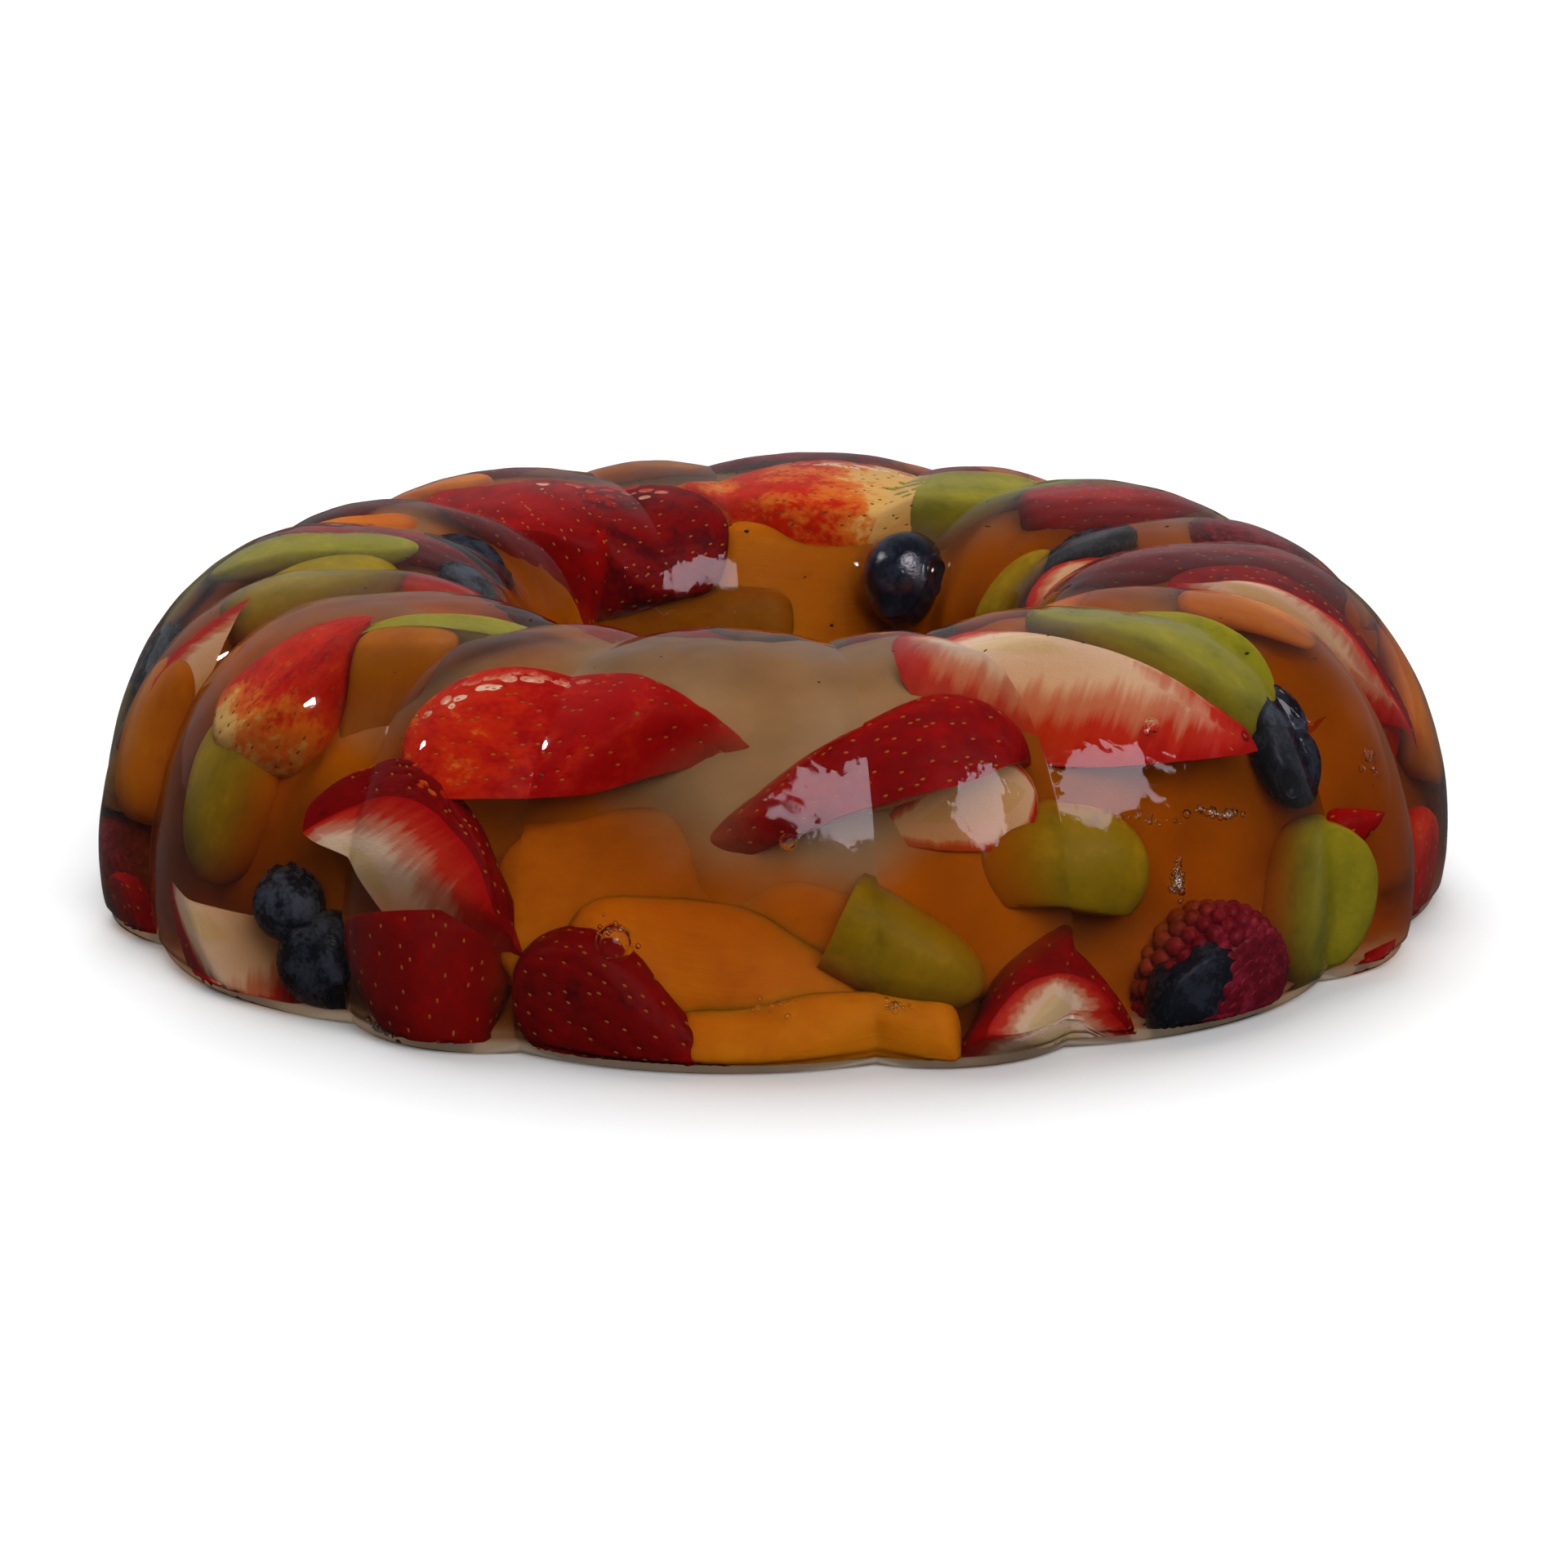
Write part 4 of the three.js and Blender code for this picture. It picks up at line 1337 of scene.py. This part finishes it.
def soft_finish(shader, roughness, specular, inside=None):
    """What all fruit in jelly shares: hardly any gloss of its own, and a little glow within, given
    as its weight, its scale in metres and how far each colour goes."""
    shader.inputs["Roughness"].default_value = roughness
    shader.inputs["Specular IOR Level"].default_value = specular
    if inside is not None:
        weight, scale, radius = inside
        shader.inputs["Subsurface Weight"].default_value = weight
        shader.inputs["Subsurface Scale"].default_value = scale
        shader.inputs["Subsurface Radius"].default_value = radius


def strawberry_material(colours):
    """Skin from cream by orange and red to dark red as tone and place along the berry say, yellow
    or brown seeds, and cut flesh: a red rim that runs in streaks into a pale middle."""
    material, tree, shader, _ = new_material("Strawberry")
    own = attribute(tree, "own", "Vector")
    tone, along, rim = (attribute(tree, name) for name in ("tone", "along", "rim"))
    blotch = mottle(tree, own, 0.16, 0.9, 0.5)
    near_stalk = between(tree, along, 0.05, 0.52, 1.0, 0.0)
    unripe = maths(tree, "MULTIPLY", near_stalk, between(tree, tone, 0.75, 0.1, 0.0, 0.55))
    ripe = maths(tree, "SUBTRACT", maths(tree, "MULTIPLY", blotch, 0.55), unripe)
    ripe = maths(tree, "ADD", ripe, tone)
    skin = ramp(tree, ripe, STRAWBERRY_SKIN)
    streak = node(tree, "ShaderNodeTexNoise", {
        "Vector": attribute(tree, "streak", "Vector"), "Scale": 0.75, "Detail": 3.0}).outputs["Fac"]
    reach = maths(tree, "ADD", rim, maths(tree, "MULTIPLY", maths(tree, "SUBTRACT", streak, 0.5), 5.0))
    reach = maths(tree, "DIVIDE", reach, between(tree, tone, 0.3, 0.9, 4.5, 9.0))
    flesh = ramp(tree, reach, STRAWBERRY_FLESH)
    heart = between(tree, rim, HEART_FROM, HEART_TO, 0.0, 0.7)
    flesh = mixed(tree, heart, flesh, STRAWBERRY_HEART)
    colour = mixed(tree, attribute(tree, "cut"), skin, flesh)
    colour = mixed(tree, attribute(tree, "seed"), colour, ramp(tree, tone, STRAWBERRY_SEED))
    clouded(tree, shader, colours, colour)
    soft_finish(shader, 0.35, 0.03, (0.10, 0.002, (1.0, 0.25, 0.12)))
    bumped(tree, shader, mottle(tree, own, 0.8, 3.0, 0.6), 0.30, 0.0004)
    return material


def grape_material(colours):
    """Cloudy green skin with faint lengthwise veins; on a cut, paler flesh with a clear rim. It
    turns more olive with tone."""
    material, tree, shader, _ = new_material("Green grape")
    own = attribute(tree, "own", "Vector")
    stretched = node(tree, "ShaderNodeMapping", {"Vector": own, "Scale": (0.12, 1.0, 1.0)}).outputs[0]
    veins = mottle(tree, stretched, 0.35, 1.1, 0.6)
    cloud = mottle(tree, own, 0.12, 0.7, 0.4)
    shade = maths(tree, "ADD", maths(tree, "MULTIPLY", veins, 0.2), cloud)
    r, g, b = colours.grape
    skin = ramp(tree, between(tree, shade, -0.4, 0.4), [
        (0.0, (r * 0.7, g * 0.75, b * 0.7)), (0.5, (r, g, b)), (1.0, (r * 1.3, g * 1.25, b * 1.5))])
    rim = between(tree, attribute(tree, "rim"), 0.3, 2.5)
    flesh = mixed(tree, rim, (r * 0.9, g * 0.95, b * 0.8), (r * 1.45, g * 1.4, b * 2.3))
    colour = mixed(tree, attribute(tree, "cut"), skin, flesh)
    olive = mixed(tree, between(tree, attribute(tree, "tone"), 0.3, 1.0), (1, 1, 1), OLIVE)
    clouded(tree, shader, colours, mixed(tree, 1.0, colour, olive, "MULTIPLY"), 1.6)
    soft_finish(shader, 0.4, 0.04, (0.6, 0.005, (1.0, 0.9, 0.3)))
    return material


def mango_material(colours):
    """Ripe flesh: soft blotches and fine fibres along the slice, darker with tone."""
    material, tree, shader, _ = new_material("Ripe mango")
    own = attribute(tree, "own", "Vector")
    stretched = node(tree, "ShaderNodeMapping", {"Vector": own, "Scale": (0.10, 1.0, 1.0)}).outputs[0]
    fibre = mottle(tree, stretched, 0.4, 1.6, 0.7)
    cloud = mottle(tree, own, 0.09, 0.4, 0.5)
    shade = between(tree, maths(tree, "ADD", maths(tree, "MULTIPLY", fibre, 0.22), cloud), -0.4, 0.4)
    r, g, b = colours.mango
    colour = ramp(tree, shade, [(0.0, (r * 0.85, g * 0.78, b * 0.8)), (0.5, (r, g, b)),
                                (1.0, (r * 1.08, g * 1.2, b * 1.6))])
    shade = between(tree, attribute(tree, "tone"), 0.5, 1.0, 1.1, 0.35)
    clouded(tree, shader, colours, scaled(tree, colour, shade), 1.2)
    soft_finish(shader, 0.5, 0.04, (0.7, 0.005, (1.0, 0.45, 0.1)))
    bumped(tree, shader, fibre, 0.25, 0.0003)
    return material


def blueberry_material(colours, name, specular, smooth, dull):
    """Blue-black skin under a dull bloom that is wiped off in patches, darker in the crown. Its
    roughness is smooth where it is clean and dull under the bloom."""
    material, tree, shader, _ = new_material(name)
    own = attribute(tree, "own", "Vector")
    patches = between(tree, mottle(tree, own, 0.28, 1.3, 0.55), -0.12, 0.2)
    bloom = maths(tree, "MULTIPLY", patches, between(tree, attribute(tree, "tone"), 0.2, 1.0, 0.25, 1.0))
    in_crown = maths(tree, "MULTIPLY", attribute(tree, "crown"), 0.7)
    bloom = maths(tree, "MULTIPLY", bloom, maths(tree, "SUBTRACT", 1.0, in_crown))
    clouded(tree, shader, colours, mixed(tree, bloom, tuple(colours.berry), tuple(colours.bloom)))
    tree.links.new(between(tree, bloom, 0.0, 0.6, smooth, dull), shader.inputs["Roughness"])
    shader.inputs["Specular IOR Level"].default_value = specular
    bumped(tree, shader, mottle(tree, own, 1.2, 4.0, 0.5), 0.3, 0.0003)
    return material


def raspberry_material(colours):
    """Dark pink-red drupelets, lighter in blotches."""
    material, tree, shader, _ = new_material("Raspberry")
    own = attribute(tree, "own", "Vector")
    shade = between(tree, mottle(tree, own, 0.3, 1.2, 0.5), -0.3, 0.3)
    clouded(tree, shader, colours, ramp(tree, shade, RASPBERRY_SKIN))
    soft_finish(shader, 0.4, 0.08, (0.2, 0.002, (1.0, 0.3, 0.2)))
    return material


def speck_material():
    """Dark specks, brown to nearly black."""
    material, tree, shader, _ = new_material("Dark specks")
    shade = between(tree, mottle(tree, object_place(tree), 300.0, 900.0), -0.2, 0.2)
    tree.links.new(ramp(tree, shade, SPECK_BROWNS), shader.inputs["Base Color"])
    soft_finish(shader, 0.5, 0.2)
    return material


def floor_material(colours):
    """A plain pale matt floor with a trace of mottle. The wet skin mirrors it as a dark one."""
    material, tree, shader, _ = new_material("Pale floor")
    shade = between(tree, mottle(tree, object_place(tree), 6.0, 40.0), -0.3, 0.3)
    r, g, b = colours.floor
    pale = ramp(tree, shade, [(0.0, (r * 0.99, g * 0.99, b * 0.99)), (1.0, (r, g, b))])
    in_skin = node(tree, "ShaderNodeLightPath").outputs["Is Glossy Ray"]
    tree.links.new(mixed(tree, in_skin, pale, FLOOR_IN_SKIN), shader.inputs["Base Color"])
    soft_finish(shader, 0.75, 0.2)
    return material


# ---------------------------------------------------------------- operators


CUT_EDGE = math.radians(50)  # a cut edge sharper than this isn't smoothed over
BUBBLE_STEPS, SWARM_STEPS, SPECK_STEPS = (18, 28), (6, 10), (4, 6)
# The radii of tiny bubbles: shares of the largest, and the power that makes most of them small
SWARM_SIZES, SWARM_POWER = (0.35, 1.0), 1.5
OVER_RADII, OVER_MORE = 1.6, 0.0003  # least depth of a tiny bubble's middle: in radii, and more
SPECK_MIDDLE, SPECK_SPREAD = math.radians(105), math.radians(38)  # round the section: near the crest
SPECK_DEPTHS = (0.0003, 0.0007)
SPECK_LOWEST = 0.001
# A speck's half size, its shares for small and large ones, and how stretched and how skew they are
SPECK_HALF_SIZE, SPECK_SIZES = 0.0002, (0.5, 1.3)
SPECK_STRETCH, SPECK_SKEW = (0.4, 1.4), 0.5
FLOOR_REACH = 8.0

# The broad lights, by the studio's names for their strengths: the way towards each
BROAD_LIGHTS = {"daylight": (-0.25, 0.50, 1.0), "front_light": (0.35, -1.0, 0.85),
                "back_light": (0.3, 1.0, 0.75)}
# How far back a mirrored direction points where the sky starts, and where it is full
SKY_FROM, SKY_TO = 0.25, 0.95

# The torn window: how often its noise changes across and down, how much the noise and the distance
# from the middle count, and the sums at which it is dark and fully lit
TEAR_FINENESS = (9.0, 4.0, 1.0)
TEAR_NOISE, TEAR_AWAY = 1.3, 1.25
TEAR_DARK, TEAR_LIT = 0.22, 0.25


def mould_and_view(scene):
    """The space that the jelly fills, and the view of it."""
    mould = Mould(scene.jelly_ring)
    return mould, View(scene.jelly_studio, mould, scene.jelly_colours.jelly_index)


def lay_fruit(scene, kind, material, sharp=None, halves=False):
    """Makes the shown pieces of a kind as one object, or one for each half of the ring, and the
    filling as another."""
    mould, view = mould_and_view(scene)
    sizes, shown = scene.jelly_fruit, seen_fruit(view)
    sets = {"shown": shown}
    if halves:
        sets = {"front": [p for p in shown if p.place[1] < 0],
                "back": [p for p in shown if p.place[1] >= 0]}
    sets["filling"] = filling_fruit(sizes, mould, view, shown)
    for place, pieces in sets.items():
        shapes = [laid_in(p, sizes, mould) for p in pieces if p.kind == kind]
        make_piece(f"{kind}_{place}", joined(shapes), material, sharp)


class JELLY_OT_ring(bpy.types.Operator):
    """Add the clear jelly ring with its air bubbles"""

    bl_idname = "jelly.ring"
    bl_label = "Jelly ring"

    def execute(self, context):
        scene = context.scene
        mould, view = mould_and_view(scene)
        rng = np.random.default_rng(BUBBLE_SEED)
        bubbles = []
        for middle, depth, radius in BUBBLES:
            at = view.inside(*middle, depth * MM)
            bubbles.append(many(ball(*BUBBLE_STEPS), at[None], np.eye(3)[None] * radius * MM))
        for middle, (columns, rows), depth, largest, count in SWARMS:
            radius = largest * MM * rng.uniform(*SWARM_SIZES, count) ** SWARM_POWER
            spread = np.reshape((columns, rows, SWARM_THICKNESS), (3, 1, 1)) / 2 * view.scale
            aside, above, off = rng.normal(size=(3, count, 1)) * spread
            at = view.inside(*middle, depth * MM)
            at = at + aside * view.right + above * view.up + off * view.towards
            at = mould.kept_in(at, radius * OVER_RADII + OVER_MORE)
            bubbles.append(many(ball(*SWARM_STEPS), at, np.eye(3) * radius[:, None, None]))
        surface = ring_surface(scene.jelly_ring, mould, bubbles)
        piece = make_piece("clear_jelly", surface, jelly_material(scene.jelly_colours))
        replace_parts(piece, "jelly_ring")
        return {"FINISHED"}


class JELLY_OT_depth(bpy.types.Operator):
    """Add the cloudy depth of the jelly, where it is too thick to see through"""

    bl_idname = "jelly.depth"
    bl_label = "Cloudy depth"

    def execute(self, context):
        scene = context.scene
        surface = depth_surface(scene.jelly_ring, Mould(scene.jelly_ring))
        make_piece("cloudy_depth", surface, depth_material(scene.jelly_colours))
        return {"FINISHED"}


class JELLY_OT_hole_berry(bpy.types.Operator):
    """Add the blueberry in the wall of the hole"""

    bl_idname = "jelly.hole_berry"
    bl_label = "Hole berry"

    def execute(self, context):
        sizes, colours = context.scene.jelly_fruit, context.scene.jelly_colours
        tilt, turn = sizes.berry_tilt, sizes.berry_turn
        x = np.array((math.sin(tilt) * math.cos(turn), math.sin(tilt) * math.sin(turn), math.cos(tilt)))
        y = np.array((-math.sin(turn), math.cos(turn), 0))
        berry = Fruit("blueberry", (sizes.berry_length, sizes.berry_width, sizes.berry_width), BERRY_PLACE,
                      np.stack([x, y, np.cross(x, y)], 1), tone=0.2, fine=2.0, number=HOLE_BERRY_NUMBER)
        shape = blueberry(berry, sizes, np.random.default_rng(berry.number))
        shape.points = shape.points @ berry.axes.T + berry.place
        shape.values["tone"] = np.full(len(shape.points), berry.tone)
        shape.values["deep"] = np.zeros(len(shape.points))
        material = blueberry_material(colours, "Wet blueberry", specular=0.75, smooth=0.07, dull=0.30)
        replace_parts(make_piece("wet_blueberry", shape, material), "hole_berry")
        return {"FINISHED"}


class JELLY_OT_strawberries(bpy.types.Operator):
    """Add the strawberries, whole, halved and sliced"""

    bl_idname = "jelly.strawberries"
    bl_label = "Strawberries"

    def execute(self, context):
        material = strawberry_material(context.scene.jelly_colours)
        lay_fruit(context.scene, "strawberry", material, CUT_EDGE, halves=True)
        return {"FINISHED"}


class JELLY_OT_grapes(bpy.types.Operator):
    """Add the green grapes, whole and halved"""

    bl_idname = "jelly.grapes"
    bl_label = "Grapes"

    def execute(self, context):
        material = grape_material(context.scene.jelly_colours)
        lay_fruit(context.scene, "grape", material, CUT_EDGE)
        return {"FINISHED"}


class JELLY_OT_mango(bpy.types.Operator):
    """Add the mango slices"""

    bl_idname = "jelly.mango"
    bl_label = "Mango slices"

    def execute(self, context):
        material = mango_material(context.scene.jelly_colours)
        lay_fruit(context.scene, "mango", material)
        return {"FINISHED"}


class JELLY_OT_blueberries(bpy.types.Operator):
    """Add the blueberries sunk in the jelly"""

    bl_idname = "jelly.blueberries"
    bl_label = "Blueberries"

    def execute(self, context):
        colours = context.scene.jelly_colours
        material = blueberry_material(colours, "Sunk blueberry", specular=0.08, smooth=0.22, dull=0.55)
        lay_fruit(context.scene, "blueberry", material)
        return {"FINISHED"}


class JELLY_OT_raspberries(bpy.types.Operator):
    """Add the raspberries"""

    bl_idname = "jelly.raspberries"
    bl_label = "Raspberries"

    def execute(self, context):
        material = raspberry_material(context.scene.jelly_colours)
        lay_fruit(context.scene, "raspberry", material)
        return {"FINISHED"}


class JELLY_OT_specks(bpy.types.Operator):
    """Add the dark specks just under the skin of the crest"""

    bl_idname = "jelly.specks"
    bl_label = "Specks"

    def execute(self, context):
        scene = context.scene
        mould = Mould(scene.jelly_ring)
        rng = np.random.default_rng(SPECK_SEED)
        count = scene.jelly_fruit.specks
        azimuth = rng.uniform(0, math.tau, count)
        angle = rng.normal(SPECK_MIDDLE, SPECK_SPREAD, count)
        deep = rng.uniform(*SPECK_DEPTHS, count)
        places = mould.place(azimuth, angle, mould.reach(azimuth, angle) - deep)
        places[:, 2] = np.maximum(places[:, 2], SPECK_LOWEST)
        axes = rng.normal(size=(count, 3, 3)) * SPECK_SKEW
        axes = axes + np.eye(3) * rng.uniform(*SPECK_STRETCH, (count, 1, 3))
        axes *= SPECK_HALF_SIZE * rng.uniform(*SPECK_SIZES, (count, 1, 1))
        flip = np.linalg.det(axes) < 0
        axes[flip, 0] *= -1
        specks = many(ball(*SPECK_STEPS), places, axes)
        make_piece("dark_specks", specks, speck_material())
        return {"FINISHED"}


class JELLY_OT_stage(bpy.types.Operator):
    """Add the pale floor, the soft lamps and the camera"""

    bl_idname = "jelly.stage"
    bl_label = "Stage"

    def execute(self, context):
        scene = context.scene
        studio = scene.jelly_studio
        _, view = mould_and_view(scene)
        add_floor(scene)
        add_camera(scene, view)
        add_room(scene)
        for name, towards in BROAD_LIGHTS.items():
            add_daylight(name, towards, getattr(studio, name), studio.breadth)
        window, aim = view.mirrored(*WINDOW_AT, WINDOW_AWAY)
        torn = add_glint("window", window, aim, WINDOW_SIZE, studio.window)
        torn.data.color = studio.window_tint
        tear(torn.data.node_tree)
        spot, aim = view.mirrored(*SPOT_AT, SPOT_AWAY)
        add_glint("spot", spot, aim, SPOT_SIZE, SPOT_POWER)
        return {"FINISHED"}


def add_floor(scene):
    """The pale floor, one wide square."""
    far = FLOOR_REACH
    mesh = bpy.data.meshes.new("floor")
    mesh.from_pydata([(-far, -far, 0), (far, -far, 0), (far, far, 0), (-far, far, 0)], [], [(0, 1, 2, 3)])
    mesh.materials.append(floor_material(scene.jelly_colours))
    floor = bpy.data.objects.new("floor", mesh)
    scene.collection.objects.link(floor)


def add_camera(scene, view):
    """The camera, in the view's place."""
    camera = bpy.data.objects.new("camera", bpy.data.cameras.new("camera"))
    camera.data.lens = scene.jelly_studio.lens
    camera.data.sensor_width = View.SENSOR
    camera.location = view.place
    camera.rotation_euler = (math.pi / 2 - scene.jelly_studio.elevation, 0, 0)
    scene.collection.objects.link(camera)
    scene.camera = camera


def add_room(scene):
    """Even light from all round. The wet skin mirrors it as a dim room in front and a brighter sky
    behind."""
    studio = scene.jelly_studio
    world = bpy.data.worlds.new("room")
    world.use_nodes = True
    tree = world.node_tree
    background = tree.nodes["Background"]
    background.inputs["Color"].default_value = ROOM_COLOUR
    way = node(tree, "ShaderNodeTexCoord").outputs["Generated"]
    back = node(tree, "ShaderNodeSeparateXYZ", {0: way}).outputs["Y"]
    mirrored = between(tree, back, SKY_FROM, SKY_TO, studio.mirrored_room, studio.mirrored_sky)
    in_skin = node(tree, "ShaderNodeLightPath").outputs["Is Glossy Ray"]
    strength = node(tree, "ShaderNodeMix", {0: in_skin, 2: studio.sky, 3: mirrored}).outputs[0]
    tree.links.new(strength, background.inputs["Strength"])
    scene.world = world
    scene.view_settings.view_transform = "Standard"


def tear(tree):
    """Gives a lamp a torn outline with drips: it shines only where noise, drawn out from top to
    bottom, less the distance from the lamp's middle, comes to enough."""
    over = node(tree, "ShaderNodeNewGeometry").outputs["Parametric"]
    drawn = node(tree, "ShaderNodeMapping", {"Vector": over, "Scale": TEAR_FINENESS}).outputs[0]
    noise = node(tree, "ShaderNodeTexNoise", {
        "Vector": drawn, "Scale": 1.0, "Detail": 8.0, "Roughness": 0.66})
    away = node(tree, "ShaderNodeVectorMath", {0: over, 1: (0.5, 0.5, 0)}, operation="DISTANCE")
    ragged = maths(tree, "MULTIPLY", noise.outputs["Fac"], TEAR_NOISE)
    narrowed = maths(tree, "MULTIPLY", away.outputs["Value"], TEAR_AWAY)
    mask = between(tree, maths(tree, "SUBTRACT", ragged, narrowed), TEAR_DARK, TEAR_LIT)
    lit = tree.nodes["Emission"].inputs["Strength"]
    tree.links.new(maths(tree, "MULTIPLY", mask, lit.links[0].from_socket), lit)


def add_daylight(name, towards, strength, breadth):
    """A broad soft light from one side of the sky, which leaves no glint of its own."""
    data = bpy.data.lights.new(name, "SUN")
    data.energy, data.angle = strength, breadth
    lamp = bpy.data.objects.new(name, data)
    lamp.rotation_euler = Vector(towards).to_track_quat("Z", "Y").to_euler()
    lamp.visible_glossy = False
    bpy.context.scene.collection.objects.link(lamp)


def add_glint(name, place, aim, size, power):
    """A rectangular lamp that shows only where wet surfaces mirror it. What comes to it by way of a
    matt surface finds it dark, so that it lights nothing."""
    data = bpy.data.lights.new(name, "AREA")
    data.shape = "RECTANGLE"
    data.size, data.size_y = size
    data.energy = power
    lamp = bpy.data.objects.new(name, data)
    lamp.location = place
    lamp.rotation_euler = Vector(np.array(place) - np.array(aim)).to_track_quat("Z", "Y").to_euler()
    lamp.visible_camera = lamp.visible_diffuse = False
    data.use_nodes = True
    tree = data.node_tree
    matt = node(tree, "ShaderNodeLightPath").outputs["Diffuse Depth"]
    tree.links.new(maths(tree, "LESS_THAN", matt, 0.5), tree.nodes["Emission"].inputs["Strength"])
    bpy.context.scene.collection.objects.link(lamp)
    return lamp


STEPS = (JELLY_OT_stage, JELLY_OT_ring, JELLY_OT_depth, JELLY_OT_hole_berry, JELLY_OT_strawberries,
         JELLY_OT_grapes, JELLY_OT_mango, JELLY_OT_blueberries, JELLY_OT_raspberries, JELLY_OT_specks)


class JELLY_PT_panel(bpy.types.Panel):
    """Lists the pieces of the moulded jelly"""

    bl_label = "Moulded fruit jelly"
    bl_idname = "JELLY_PT_panel"
    bl_space_type = "VIEW_3D"
    bl_region_type = "UI"
    bl_category = "Jelly"

    def draw(self, context):
        for step in STEPS:
            self.layout.operator(step.bl_idname)
        for group in GROUPS:
            box = self.layout.box()
            values = getattr(context.scene, group)
            for name in values.bl_rna.properties.keys():
                if name not in ("rna_type", "name"):
                    box.prop(values, name)


GROUPS = {"jelly_ring": RingSizes, "jelly_fruit": FruitSizes, "jelly_colours": Colours,
          "jelly_studio": Studio}


def register():
    """Makes the groups, the operators and the panel known, and gives each scene its values."""
    for kind in (*GROUPS.values(), *STEPS, JELLY_PT_panel):
        bpy.utils.register_class(kind)
    for name, group in GROUPS.items():
        setattr(bpy.types.Scene, name, bpy.props.PointerProperty(type=group))


def unregister():
    """Takes all of that away again."""
    for name in GROUPS:
        delattr(bpy.types.Scene, name)
    for kind in reversed((*GROUPS.values(), *STEPS, JELLY_PT_panel)):
        bpy.utils.unregister_class(kind)


def main():
    """Builds everything in order."""
    register()
    for step in STEPS:
        group, name = step.bl_idname.split(".")
        getattr(getattr(bpy.ops, group), name)()


if __name__ == "__main__":
    main()
